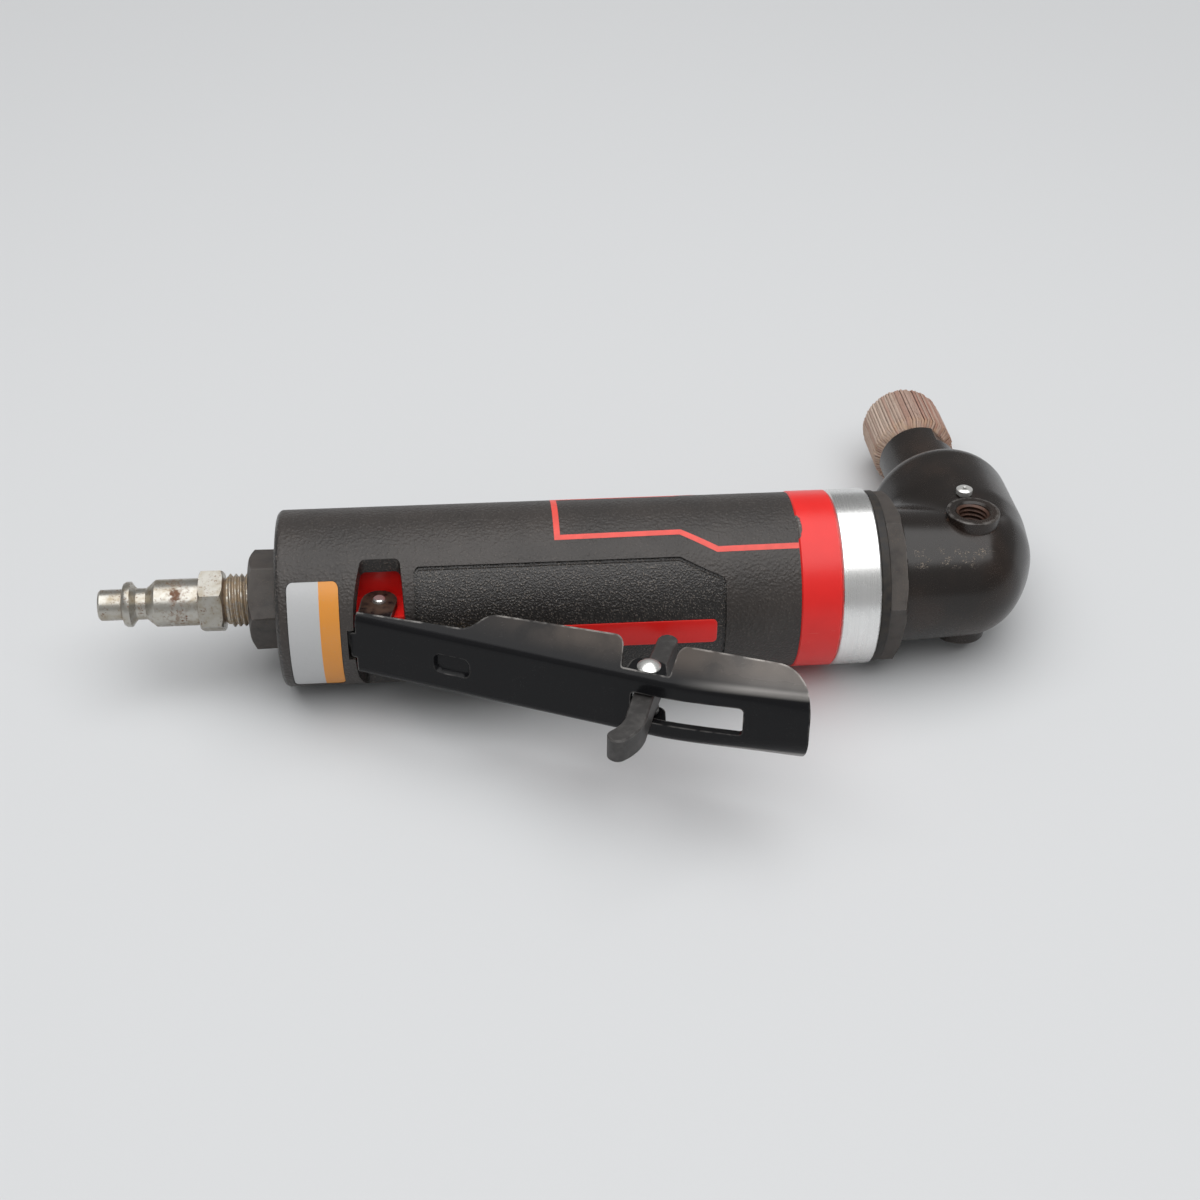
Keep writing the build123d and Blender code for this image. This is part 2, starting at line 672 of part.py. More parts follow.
# Angle head: motor barrel, rounded spindle barrel and two side handle bosses
with BuildPart() as angle_head:
    revolve(
        section(
            (tail_start, 0), (tail_start, tail_radius), (nut_end, tail_radius), (nut_end, barrel_radius),
            (barrel_nose, barrel_end_radius), (barrel_nose, 0),
            radius=[0, 0, 0, 0.5, nose_round, 0],
        ),
        axis=Axis.X,
    )
    revolve(
        section(
            (-4, 0), (-4, 10), (-1, throat_radius), (taper_end, bullet_radius), (shoulder, bullet_radius),
            (shoulder, 0),
            plane=spindle_plane, radius=[0, 0, 0, 50, shoulder_round, 0],
        ),
        axis=spindle_axis,
    )
    fillet(angle_head.edges().filter_by(GeomType.BSPLINE), head_blend)
    with BuildSketch(Plane.XY.offset(-boss_reach)):
        with Locations((spindle_x, 0)):
            Circle(boss_radius)
    bosses = extrude(amount=2 * boss_reach, mode=Mode.PRIVATE)
    add(bosses.fillet(0.4, bosses.edges().filter_by(GeomType.CIRCLE)))
    revolve(
        section(
            (tail_start, 0), (tail_start, 6.2), (61.95, 6.2), (61.95, 9.52), (92, 9.52), (92, 0),
        ),
        axis=Axis.X,
        mode=Mode.SUBTRACT,
    )
    revolve(
        section(
            (-14.2, 0), (-14.2, 6.52), (-8.6, 6.52), (-8.6, 7), (4, 7), (4, 12.2), (20.5, 12.2),
            (20.5, 14.02), (40, 14.02), (40, 0),
            plane=spindle_plane,
        ),
        axis=spindle_axis,
        mode=Mode.SUBTRACT,
    )
    for side in (1, -1):
        mouth = side * boss_reach
        with Locations(Location((spindle_x, 0, mouth), (0, 0 if side > 0 else 180, 0))):
            Hole(handle_thread, depth=handle_depth)
    chamfer(
        angle_head.edges().filter_by(GeomType.CIRCLE).filter_by(
            lambda edge: abs(edge.radius - handle_thread) < 0.01 and abs(edge.center().Z) > boss_reach - 0.1
        ),
        0.5,
    )
    with BuildSketch(Plane.XY.offset(10)):
        with Locations((spindle_x, nipple_y)):
            Circle(1.7)
    extrude(amount=12, mode=Mode.SUBTRACT)
keep(angle_head, "angle_head")

with BuildPart() as grease_fitting:
    nipple_axis = Axis((spindle_x, nipple_y, 0), (0, 0, 1))
    nipple_plane = Plane(origin=(spindle_x, nipple_y, 0), x_dir=(0, 0, 1), z_dir=(0, -1, 0))
    revolve(
        section(
            (13, 0.6), (13, 1.68), (nipple_seat, 1.68), (nipple_seat, 2.1), (nipple_seat + 1.2, 2.1),
            (nipple_seat + 1.6, 1.5), (nipple_seat + 1.6, 0.8), (nipple_seat + 1.3, 0.6),
            plane=nipple_plane,
        ),
        axis=nipple_axis,
    )
keep(grease_fitting, "grease_fitting")

# Pinion shaft: hex tang in the rotor, two bearings and the small bevel gear
with BuildPart() as pinion_shaft:
    with BuildSketch(Plane.YZ.offset(48.5)):
        RegularPolygon(2.46, 6, major_radius=False)
    extrude(amount=10)
    root = dedendum / cone_distance
    back = apex + Vector(-gear_pitch - pinion_pitch * root, pinion_pitch - gear_pitch * root)
    inset = (cone_distance - tooth_face) / cone_distance
    front = apex + (back - apex) * inset
    revolve(
        section(
            (57.6, 0), (57.6, 4.0), (80, 4.0), (80, 5.6), (82.4, 5.6), (back.X, back.Y),
            (front.X, front.Y), (front.X + 0.3, front.Y - 0.8), (front.X + 0.3, 0),
        ),
        axis=Axis.X,
    )
    pinion_tooth = bevel_tooth(Vector(-1, 0, 0), Vector(0, 1, 0), pinion_angle)
    add([pinion_tooth.rotate(Axis.X, 360 / pinion_teeth * count) for count in range(pinion_teeth)])
keep(pinion_shaft, "pinion_shaft")

with BuildPart() as pinion_rear_bearing_outer:
    revolve(race(62.0, 68, 6.4, 9.5), axis=Axis.X)
keep(pinion_rear_bearing_outer, "pinion_rear_bearing_outer")

with BuildPart() as pinion_rear_bearing_inner:
    revolve(ring(62.0, 68, 4.02, 6.25), axis=Axis.X)
keep(pinion_rear_bearing_inner, "pinion_rear_bearing_inner")

with BuildPart() as pinion_spacer:
    revolve(ring(68.02, 73.9, 4.04, 5.4), axis=Axis.X)
keep(pinion_spacer, "pinion_spacer")

with BuildPart() as pinion_front_bearing_outer:
    revolve(race(73.95, 79.95, 6.4, 9.5), axis=Axis.X)
keep(pinion_front_bearing_outer, "pinion_front_bearing_outer")

with BuildPart() as pinion_front_bearing_inner:
    revolve(ring(73.95, 79.95, 4.02, 6.25), axis=Axis.X)
keep(pinion_front_bearing_inner, "pinion_front_bearing_inner")

# Spindle with the large bevel gear, its bearings and the collet taper
with BuildPart() as spindle:
    revolve(
        section(
            (-13.9, 0), (-13.9, 3.0), (-8.5, 3.0), (-8.5, 4.2), (5.4, 4.2), (5.4, 5.0), (15.05, 5.0),
            (15.05, 6.0), (28.65, 6.0), (28.65, 7.6), (54.5, 7.6), (55, 7.1), (55, 6.2), (43, 4.7),
            (43, 3.6), (34, 3.6), (34, 0),
            plane=spindle_plane,
        ),
        axis=spindle_axis,
    )
keep(spindle, "spindle")

with BuildPart() as bevel_gear:
    rim = Vector(pinion_pitch + gear_pitch * root, gear_pitch - pinion_pitch * root)
    crown = rim * inset
    revolve(
        section(
            (crown.X, 5.02), (crown.X, crown.Y), (rim.X, rim.Y), (rim.X + 1.2, rim.Y - 0.2),
            (15.0, 7.6), (15.0, 5.02),
            plane=spindle_plane,
        ),
        axis=spindle_axis,
    )
    gear_tooth = bevel_tooth(Vector(0, 1, 0), Vector(-1, 0, 0), 90 - pinion_angle)
    add([
        gear_tooth.rotate(spindle_axis, 360 / gear_teeth * (count + 0.5)) for count in range(gear_teeth)
    ])
keep(bevel_gear, "bevel_gear")

with BuildPart() as gear_spacer:
    revolve(ring(15.1, 20.55, 6.03, 7.6, plane=spindle_plane), axis=spindle_axis)
keep(gear_spacer, "gear_spacer")

with BuildPart() as spindle_upper_bearing_outer:
    revolve(race(-13.8, -8.8, 4.7, 6.5, plane=spindle_plane), axis=spindle_axis)
keep(spindle_upper_bearing_outer, "spindle_upper_bearing_outer")

with BuildPart() as spindle_upper_bearing_inner:
    revolve(ring(-13.8, -8.8, 3.02, 4.55, plane=spindle_plane), axis=spindle_axis)
keep(spindle_upper_bearing_inner, "spindle_upper_bearing_inner")

with BuildPart() as spindle_lower_bearing_outer:
    revolve(race(20.6, 28.6, 10.0, 14.0, plane=spindle_plane), axis=spindle_axis)
keep(spindle_lower_bearing_outer, "spindle_lower_bearing_outer")

with BuildPart() as spindle_lower_bearing_inner:
    revolve(ring(20.6, 28.6, 6.02, 9.85, plane=spindle_plane), axis=spindle_axis)
keep(spindle_lower_bearing_inner, "spindle_lower_bearing_inner")

with BuildPart() as bearing_cap:
    revolve(
        section(
            (28.65, 11.0), (28.65, 13.97), (36.4, 13.97), (shoulder, 11.6), (shoulder, neck_radius),
            (neck_end, neck_radius), (neck_end, 8.2), (41.2, 8.2), (41.2, 9.6), (39, 9.6), (39, 8.2),
            (31, 8.2), (31, 11.0),
            plane=spindle_plane,
        ),
        axis=spindle_axis,
    )
keep(bearing_cap, "bearing_cap")

with BuildPart() as spindle_seal:
    revolve(
        section(
            (39.05, 7.66), (39.05, 9.55), (41.15, 9.55), (41.15, 8.8), (39.8, 8.5), (39.8, 7.66),
            plane=spindle_plane,
        ),
        axis=spindle_axis,
    )
keep(spindle_seal, "spindle_seal")

with BuildPart() as collet:
    revolve(
        section(
            (43.3, 3.2), (43.3, 4.65), (55.5, 6.15), (56.4, 6.15), (59.4, 4.6), (59.4, 3.2),
            plane=spindle_plane,
        ),
        axis=spindle_axis,
    )
    with BuildSketch(Plane.XZ.offset(-60)):
        with Locations((spindle_x, 0)):
            with PolarLocations(5.5, 4, start_angle=45):
                Rectangle(7, 0.8)
    extrude(amount=13, mode=Mode.SUBTRACT)
keep(collet, "collet")

with BuildPart() as collet_nut:
    revolve(
        section(
            (43, 7.65), (43, collet_nut_radius - 0.4), (43.4, collet_nut_radius),
            (nut_nose - 0.9, collet_nut_radius), (nut_nose, collet_nut_radius - 0.9), (nut_nose, 4.75),
            (56.7, 6.25), (55.3, 6.25), (55.3, 7.65),
            plane=spindle_plane,
        ),
        axis=spindle_axis,
    )
    flat_line = (cos(radians(flat_turn)), 0, sin(radians(flat_turn)))
    with BuildSketch(Plane((spindle_x, 52.4, 0), x_dir=flat_line, z_dir=(0, 1, 0))):
        with Locations((14, 0), (-14, 0)):
            Rectangle(10, 24)
    extrude(amount=10, mode=Mode.SUBTRACT)
keep(collet_nut, "collet_nut")

# Worn flap wheel on its shank
with BuildPart() as wheel_shank:
    revolve(ring(40.5, wheel_end - 1.0, 0, shank_radius, plane=spindle_plane), axis=spindle_axis)
keep(wheel_shank, "wheel_shank")

with BuildPart() as wheel_hub:
    revolve(
        ring(wheel_start + 0.4, wheel_end - 0.6, shank_radius + 0.02, 4.8, plane=spindle_plane),
        axis=spindle_axis,
    )
keep(wheel_hub, "wheel_hub")

with BuildPart() as wheel_flaps:
    revolve(
        section(
            (wheel_start, 4.82), (wheel_start, wheel_radius), (wheel_end, wheel_radius), (wheel_end, 4.82),
            plane=spindle_plane, radius=[0, 1.2, wheel_edge, 0],
        ),
        axis=spindle_axis,
    )
keep(wheel_flaps, "wheel_flaps")

# Rest on the bright ring and the rounded shoulder of the head, origin under the middle of the whole
round_y = shoulder - shoulder_round
round_z = bullet_radius - shoulder_round
drop = ring_radius - shoulder_round
roll = degrees(asin(drop / hypot(round_y, round_z)) - atan2(round_z, round_y))
lay = Rot(X=-roll)
middle = Compound(children=[lay * piece for piece in pieces]).bounding_box().center()
rest = Pos(-middle.X, -middle.Y, ring_radius) * lay
for piece in pieces:
    laid = rest * piece
    laid.label = piece.label
    export_step(laid, f"parts/{piece.label}.step")
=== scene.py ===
import json
from math import asin, cos, degrees, hypot, pi, radians, sin

import bmesh
import bpy
from mathutils import Matrix, Quaternion, Vector

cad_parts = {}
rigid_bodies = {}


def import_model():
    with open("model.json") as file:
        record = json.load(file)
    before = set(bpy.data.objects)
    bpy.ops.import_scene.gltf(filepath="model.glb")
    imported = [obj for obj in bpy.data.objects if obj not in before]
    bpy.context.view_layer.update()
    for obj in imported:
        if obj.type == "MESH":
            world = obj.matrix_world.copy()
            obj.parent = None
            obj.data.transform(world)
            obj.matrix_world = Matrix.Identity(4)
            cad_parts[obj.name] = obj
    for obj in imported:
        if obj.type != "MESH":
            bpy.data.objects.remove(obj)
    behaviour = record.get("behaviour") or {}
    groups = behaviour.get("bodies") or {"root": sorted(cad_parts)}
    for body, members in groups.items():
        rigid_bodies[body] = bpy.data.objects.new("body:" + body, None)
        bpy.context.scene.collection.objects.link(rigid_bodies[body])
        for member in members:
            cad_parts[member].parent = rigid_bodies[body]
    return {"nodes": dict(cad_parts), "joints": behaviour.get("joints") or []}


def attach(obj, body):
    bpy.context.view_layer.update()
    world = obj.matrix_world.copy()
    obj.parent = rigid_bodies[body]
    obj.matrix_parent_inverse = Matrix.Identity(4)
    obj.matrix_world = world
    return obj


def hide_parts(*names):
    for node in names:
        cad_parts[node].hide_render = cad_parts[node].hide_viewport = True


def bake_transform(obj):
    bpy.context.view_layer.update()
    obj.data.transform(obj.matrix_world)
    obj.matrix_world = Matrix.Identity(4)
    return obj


for leftOver in list(bpy.data.objects):
    bpy.data.objects.remove(leftOver)
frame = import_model()
bpy.context.view_layer.update()
print("frame loaded with", len(frame["nodes"]), "nodes")

# the tool's own axes, in millimetres: X along the motor, Y along the spindle, Z out of the upper boss
mm = 0.001
joints = {joint["name"]: joint for joint in frame["joints"]}
motorAxis = Vector(joints["rotor_spin"]["axis"])
spindleAxis = Vector(joints["spindle_spin"]["axis"])
toolOrigin = Vector(joints["rotor_spin"]["pos_m"])
toolTurn = Matrix((motorAxis, spindleAxis, motorAxis.cross(spindleAxis)))
toolFrame = Matrix.Translation(toolOrigin) @ toolTurn.transposed().to_4x4() @ Matrix.Scale(mm, 4)
toTool = toolFrame.inverted()
spindleX = (Vector(joints["spindle_spin"]["pos_m"]) - toolOrigin).dot(motorAxis) / mm


def toolBox(node):
    corners = [toTool @ vertex.co for vertex in frame["nodes"][node].data.vertices]
    low = Vector([min(corner[axis] for corner in corners) for axis in range(3)])
    high = Vector([max(corner[axis] for corner in corners) for axis in range(3)])
    return low, high


# Node trees, written as sums
class Wire:  # a socket that can stand in a sum
    def __init__(self, graph, socket):
        self.graph = graph
        self.socket = socket

    def output(self, name):
        return Wire(self.graph, self.socket.node.outputs[name])

    def __add__(self, other):
        return self.graph.maths("ADD", self, other)

    def __radd__(self, other):
        return self.graph.maths("ADD", other, self)

    def __sub__(self, other):
        return self.graph.maths("SUBTRACT", self, other)

    def __rsub__(self, other):
        return self.graph.maths("SUBTRACT", other, self)

    def __mul__(self, other):
        return self.graph.maths("MULTIPLY", self, other)

    def __rmul__(self, other):
        return self.graph.maths("MULTIPLY", other, self)

    def __truediv__(self, other):
        return self.graph.maths("DIVIDE", self, other)

    def __pow__(self, other):
        return self.graph.maths("POWER", self, other)

    def __abs__(self):
        return self.graph.maths("ABSOLUTE", self)


class Graph:  # one node tree
    def __init__(self, tree):
        self.tree = tree

    def feed(self, socket, value):
        if isinstance(value, Wire):
            self.tree.links.new(value.socket, socket)
        else:
            socket.default_value = value

    def node(self, kind, settings=None, sockets=None, out=0):
        made = self.tree.nodes.new(kind)
        for name, value in (settings or {}).items():
            setattr(made, name, value)
        for key, value in (sockets or {}).items():
            self.feed(made.inputs[key], value)
        return Wire(self, made.outputs[out]) if made.outputs else None

    def maths(self, operation, *values):
        return self.node("ShaderNodeMath", {"operation": operation}, dict(enumerate(values)))

    def step(self, value, low, high):  # 0 at low, 1 at high, smooth between
        settings = {"interpolation_type": "SMOOTHSTEP"}
        sockets = {"Value": value, "From Min": low, "From Max": high}
        return self.node("ShaderNodeMapRange", settings, sockets)


class Finish(Graph):  # a material, with the place on the tool in millimetres
    def __init__(self, name):
        self.material = bpy.data.materials.new(name)
        self.material.use_nodes = True
        super().__init__(self.material.node_tree)
        self.tree.nodes.clear()
        place = {
            "Vector": self.node("ShaderNodeTexCoord", out="Object"),
            "Location": toolTurn @ toolOrigin / -mm,
            "Rotation": toolTurn.to_euler(),
            "Scale": (1 / mm, 1 / mm, 1 / mm),
        }
        self.spot = self.node("ShaderNodeMapping", None, place)
        self.x = self.node("ShaderNodeSeparateXYZ", None, {0: self.spot})
        self.y = self.x.output(1)
        self.z = self.x.output(2)

    def noise(self, size, detail=3.0, vector=None, distortion=0.0):  # size of a patch, in millimetres
        sockets = {"Vector": vector or self.spot, "Scale": 1 / size}
        sockets.update({"Detail": detail, "Distortion": distortion})
        return self.node("ShaderNodeTexNoise", None, sockets)

    def cells(self, size):  # rounded grains, size in millimetres
        sockets = {"Vector": self.spot, "Scale": 1 / size}
        return self.node("ShaderNodeTexVoronoi", {"feature": "SMOOTH_F1"}, sockets, out="Distance")

    def stretched(self, x, y, z):  # a factor under 1 draws a pattern out along that axis
        settings = {"operation": "MULTIPLY"}
        return self.node("ShaderNodeVectorMath", settings, {0: self.spot, 1: (x, y, z)})

    def joined(self, x, y, z):
        return self.node("ShaderNodeCombineXYZ", None, {0: x, 1: y, 2: z})

    def mix(self, share, first, second):
        return self.node("ShaderNodeMix", {"data_type": "RGBA"}, {0: share, 6: first, 7: second}, out=2)

    def openness(self, reach, inside):  # 1 on a flat face, less in a corner
        settings = {"inside": inside, "only_local": True, "samples": 8}
        return self.node("ShaderNodeAmbientOcclusion", settings, {"Distance": reach * mm}, out="AO")

    def outerEdge(self, reach):  # 1 on a sharp outside edge, 0 further in than reach
        return self.step(self.openness(reach, True), 0.97, 0.62)

    def crevice(self, reach):  # 1 in a tight inside corner
        return self.step(self.openness(reach, False), 0.85, 0.45)

    def bump(self, height, depth):  # depth in millimetres
        sockets = {"Height": height, "Distance": depth * mm, "Strength": 1.0}
        return self.node("ShaderNodeBump", None, sockets)

    def shader(self, color, roughness, metallic=0.0, normal=None, shine=0.5):
        sockets = {"Base Color": color, "Roughness": roughness, "Metallic": metallic}
        sockets["Specular IOR Level"] = shine
        if normal:
            sockets["Normal"] = normal
        return self.node("ShaderNodeBsdfPrincipled", None, sockets)

    def close(self, shader):
        self.node("ShaderNodeOutputMaterial", None, {"Surface": shader})
        return self.material

    def done(self, *values, **named):
        return self.close(self.shader(*values, **named))


def tint(red, green, blue):
    return (red, green, blue, 1.0)


# Grip sleeve: moulded black rubber, a finer and glossier grain on the panel, dust specks, grain tops a
# little lighter, and painted glints on the panel grain
gripLook = {
    "color": tint(0.028, 0.0240, 0.0220),
    "worn": tint(0.046, 0.0380, 0.0335),
    "dust": tint(0.24, 0.205, 0.175),
    "panelColor": tint(0.022, 0.0200, 0.019),
    "grain": 0.72,
    "grainDepth": 0.19,
    "panelGrain": 0.47,
    "panelDepth": 0.18,
    "panelRadius": 22.35,
    "panelEdge": 0.06,
    "roughness": 0.47,
    "panelRoughness": 0.33,
}


def gripRubber():
    look = gripLook
    f = Finish("grip_rubber")
    radius = (f.y * f.y + f.z * f.z) ** 0.5
    panel = f.step(radius - look["panelRadius"], look["panelEdge"], -look["panelEdge"])
    pebble = 1 - f.cells(look["grain"]) + f.noise(look["grain"] * 0.5, 2.0) * 0.5
    grit = 1 - f.cells(look["panelGrain"]) + f.noise(look["panelGrain"] * 0.6, 2.0) * 0.6
    broad = f.step(f.noise(16.0), 0.25, 0.70)
    specks = f.step(f.noise(0.26, 1.0), 0.70, 0.77) * f.step(f.noise(5.0), 0.40, 0.62)
    peaks = f.step(pebble, 0.95, 1.15) * (1 - panel)
    # painted glint: the dust colour on the peaks of the panel grain stands in for specular sparkle
    paintedGlint = f.step(grit, 0.98, 1.18) * panel
    color = f.mix(broad * 0.7, look["color"], look["worn"])
    color = f.mix(panel, color, look["panelColor"])
    # dust colour on the specks, a little on the grain tops, and as the painted glints on the panel
    color = f.mix(specks * 0.45 + paintedGlint * 0.50 + peaks * 0.10, color, look["dust"])
    height = pebble * (1 - panel) * look["grainDepth"] + grit * panel * look["panelDepth"]
    scuff = f.step(f.noise(0.35, 2.0, f.stretched(1.0, 0.08, 0.08)), 0.62, 0.75)
    rubber = look["roughness"] - panel * (look["roughness"] - look["panelRoughness"])
    roughness = rubber - broad * 0.04 + scuff * 0.06 - paintedGlint * 0.10
    return f.done(color, roughness, normal=f.bump(height, 1.0))


# Handle body: red moulding, lightly scuffed, chipped where it meets the grip
redLook = {
    "color": tint(0.84, 0.017, 0.014),
    "deep": tint(0.75, 0.013, 0.011),
    "scuff": tint(0.82, 0.20, 0.16),
    "chip": tint(0.085, 0.075, 0.070),
    "flake": tint(0.34, 0.32, 0.305),
    "shade": tint(0.016, 0.015, 0.015),
    "shadeX": -61.8,
    "shadeEdge": 0.3,
    "chipX": 48.35,
    "chipWide": 1.45,
    "chipAngle": 21.0,
    "chipTurn": 10.0,
    "shine": 0.5,
    "roughness": 0.34,
}


def redMoulding():
    look = redLook
    f = Finish("red_moulding")
    angle = f.maths("ARCTAN2", f.y * -1.0, f.z)
    across = (f.x - look["chipX"]) / look["chipWide"]
    around = (angle - radians(look["chipAngle"])) / radians(look["chipTurn"])
    ragged = (f.noise(0.9, 3.0) - 0.5) * 0.8
    chip = f.step(across * across + around * around + ragged, 1.05, 0.75)
    flakes = f.step(f.noise(0.45, 2.0), 0.56, 0.68) * chip
    lines = f.step(f.noise(0.5, 2.0, f.stretched(0.12, 1.0, 1.0)), 0.66, 0.74)
    scuff = lines * f.step(f.noise(6.0), 0.5, 0.68)
    color = f.mix(f.noise(5.0), look["deep"], look["color"])
    color = f.mix(scuff * 0.25 + f.outerEdge(0.5) * 0.12, color, look["scuff"])
    color = f.mix(chip, color, look["chip"])
    color = f.mix(flakes * 0.7, color, look["flake"])
    # painted shade: the red darkened to near black toward the rear from shadeX
    shade = f.step(f.x - look["shadeX"], look["shadeEdge"], -look["shadeEdge"])
    color = f.mix(shade, color, look["shade"])
    roughness = look["roughness"] + scuff * 0.12 + chip * 0.3
    height = f.cells(0.6) * 0.010 - chip * 0.08
    return f.done(color, roughness, normal=f.bump(height, 1.0), shine=look["shine"])


# Bright ring: turned aluminium with fine lathe lines and a few small pits
ringLook = {
    "color": tint(0.86, 0.86, 0.85),
    "dull": tint(0.70, 0.70, 0.70),
    "pit": tint(0.22, 0.21, 0.20),
    "line": 0.05,
    "roughness": 0.24,
}


def turnedAluminium():
    look = ringLook
    f = Finish("turned_aluminium")
    angle = f.maths("ARCTAN2", f.y, f.z)
    lathe = f.noise(look["line"], 2.0, f.joined(f.x, angle * 0.02, 0.0))
    wide = f.noise(0.7, 1.0, f.joined(f.x, angle * 0.3, 0.0))
    handled = f.step(f.noise(6.0, 3.0), 0.45, 0.75)
    pits = f.step(f.noise(0.30, 1.0), 0.75, 0.81) * f.step(f.noise(5.0), 0.5, 0.7)
    color = f.mix(f.step(wide, 0.3, 0.8) * 0.25 + handled * 0.2, look["color"], look["dull"])
    color = f.mix(pits * 0.7, color, look["pit"])
    roughness = look["roughness"] + f.step(lathe, 0.2, 0.9) * 0.05 + handled * 0.05 + pits * 0.3
    height = lathe * 0.0006 - pits * 0.01
    return f.done(color, roughness, 1.0, f.bump(height, 1.0))


# Head, nuts and bushing: black oxide on steel, brown where it thins, scuffed low on the front of the head
oxideLook = {
    "color": tint(0.0135, 0.0105, 0.0090),
    "brown": tint(0.033, 0.021, 0.0155),
    "worn": tint(0.050, 0.0415, 0.0355),
    "mottle": tint(0.110, 0.078, 0.056),
    "bare": tint(0.28, 0.265, 0.25),
    "tan": tint(0.36, 0.29, 0.225),
    "rust": tint(0.13, 0.055, 0.028),
    "scuffX": (77.5, 101.0),
    "scuffTurn": (44.0, 11.0),
    "bossRadius": 6.8,
    "bossReach": 18.6,
    "shine": 0.43,
    "roughness": 0.23,
}


def blackOxide(name, worn):
    look = oxideLook
    f = Finish(name)
    patches = f.step(f.noise(15.0, 4.0), 0.42, 0.74)
    edge = f.outerEdge(0.35) * f.step(f.noise(2.0, 3.0), 0.40, 0.70)
    fromBoss = ((f.x - spindleX) ** 2.0 + f.y * f.y) ** 0.5
    rim = f.step(abs(fromBoss - look["bossRadius"] + 0.3), 0.7, 0.3)
    rim = rim * f.step(abs(f.z), look["bossReach"] - 0.5, look["bossReach"] - 0.2)
    rim = rim * f.step(f.noise(1.6, 3.0), 0.35, 0.65)
    angle = f.maths("ARCTAN2", f.y * -1.0, f.z)
    middle, reach = look["scuffTurn"]
    band = f.step(abs(angle - radians(middle)), radians(reach), radians(reach * 0.45))
    band = band * f.step(f.x, look["scuffX"][0], look["scuffX"][0] + 1.5)
    band = band * f.step(f.x, look["scuffX"][1], look["scuffX"][1] - 6.0)
    marks = f.step(f.noise(0.30, 4.0, f.stretched(0.50, 1.0, 1.0), 1.4), 0.56, 0.62)
    scuff = marks * band * f.step(f.noise(2.3, 3.0), 0.50, 0.57)
    pinpricks = f.step(f.noise(0.22, 1.0), 0.76, 0.81) * f.step(f.noise(3.5), 0.50, 0.66)
    mottle = f.step(f.noise(0.32, 3.0), 0.50, 0.70) * f.step(f.noise(4.0, 3.0), 0.30, 0.65)
    rust = f.crevice(1.2) * f.step(f.noise(2.2, 3.0), 0.45, 0.65)
    color = f.mix(patches * 0.75, look["color"], look["brown"])
    color = f.mix(f.step(f.noise(3.0, 4.0), 0.15, 0.60) * worn, color, look["worn"])
    color = f.mix(mottle * (0.05 + 0.45 * worn), color, look["mottle"])
    color = f.mix(rust * 0.6, color, look["rust"])
    color = f.mix(pinpricks * 0.35 + edge * 0.32 + rim * 0.40, color, look["bare"])
    color = f.mix(scuff * 0.75, color, look["tan"])
    roughness = look["roughness"] + 0.13 * worn
    roughness = roughness + patches * 0.05 + rust * 0.3 + scuff * 0.25 + mottle * 0.10
    metallic = edge * 0.4 + rim * 0.3
    height = f.noise(0.45, 3.0) * (0.005 + 0.006 * worn) - scuff * 0.010
    return f.done(color, roughness, metallic, f.bump(height, 1.0), shine=look["shine"])


# Lever: pressed sheet, blackened and oiled, brown where hands rub the flanges with a painted sheen
# brightening toward the tip, rusty at the hinge
leverLook = {
    "color": tint(0.008, 0.008, 0.009),
    "rubbedAndSheen": tint(0.088, 0.072, 0.061),
    "bare": tint(0.42, 0.40, 0.38),
    "rust": tint(0.075, 0.045, 0.032),
    "flange": (8.5, 12.5),
    "hinge": (-56.0, -14.0),
    "open": 24.0,
    "handled": (26.0, 58.0),
    "tip": (78.0, 104.0),
    "bend": 8.4,
    "shine": 0.17,
    "roughness": 0.21,
}


def leverSteel():
    look = leverLook
    f = Finish("lever_steel")
    flange = f.step(abs(f.z), look["flange"][0], look["flange"][1])
    swing = radians(look["open"])
    along = (f.x - look["hinge"][0]) * cos(swing) - (f.y - look["hinge"][1]) * sin(swing)
    handled = f.step(along, look["handled"][0], look["handled"][1])
    # flange colour lightens toward the tip: brown rub from hands, and also a painted sheen gradient
    worn = flange * (0.15 + 0.85 * handled) * f.step(f.noise(9.0, 4.0), 0.15, 0.62)
    fromHinge = ((f.x - look["hinge"][0]) ** 2.0 + (f.y - look["hinge"][1]) ** 2.0) ** 0.5
    rust = f.step(fromHinge, 7.5, 4.5) * f.step(f.noise(1.6, 4.0), 0.25, 0.60)
    edge = f.outerEdge(0.40) * f.step(f.noise(3.0, 3.0), 0.36, 0.66)
    hair = f.step(f.noise(0.16, 1.0, f.stretched(0.07, 1.0, 1.0)), 0.66, 0.72)
    hair = hair * f.step(f.noise(7.0), 0.5, 0.7)
    specks = f.step(f.noise(0.3, 1.0), 0.73, 0.80) * (0.25 + worn)
    polish = f.step(abs(f.z), 7.0, 10.0) * f.step(along, look["tip"][0], look["tip"][1])
    polish = polish * (0.55 + 0.45 * f.noise(7.0, 2.0))
    # painted highlight: a light streak of bare colour along the bend near the tip
    bendHighlight = f.step(abs(abs(f.z) - look["bend"]), 1.1, 0.2)
    bendHighlight = bendHighlight * f.step(along, look["tip"][0], look["tip"][1] - 6.0)
    color = f.mix(worn * 0.85, look["color"], look["rubbedAndSheen"])
    color = f.mix(rust * 0.9, color, look["rust"])
    # bare colour sums worn edges, scratches, specks and tip polish, plus the painted bend highlight
    bare = edge * 0.34 + hair * 0.06 + specks * 0.16 + polish * 0.24 + bendHighlight * 0.40
    color = f.mix(bare, color, look["bare"])
    roughness = look["roughness"] + worn * 0.14 + hair * 0.06 + rust * 0.3
    metallic = edge * 0.5 + polish * 0.5
    height = f.noise(0.6, 3.0) * (0.003 + worn * 0.008) + f.noise(9.0) * 0.03
    return f.done(color, roughness, metallic, f.bump(height, 1.0), shine=look["shine"])


# Latch: bent sheet, dull grey, bare along its edges
latchLook = {
    "color": tint(0.034, 0.032, 0.031),
    "bare": tint(0.30, 0.285, 0.27),
    "roughness": 0.44,
}


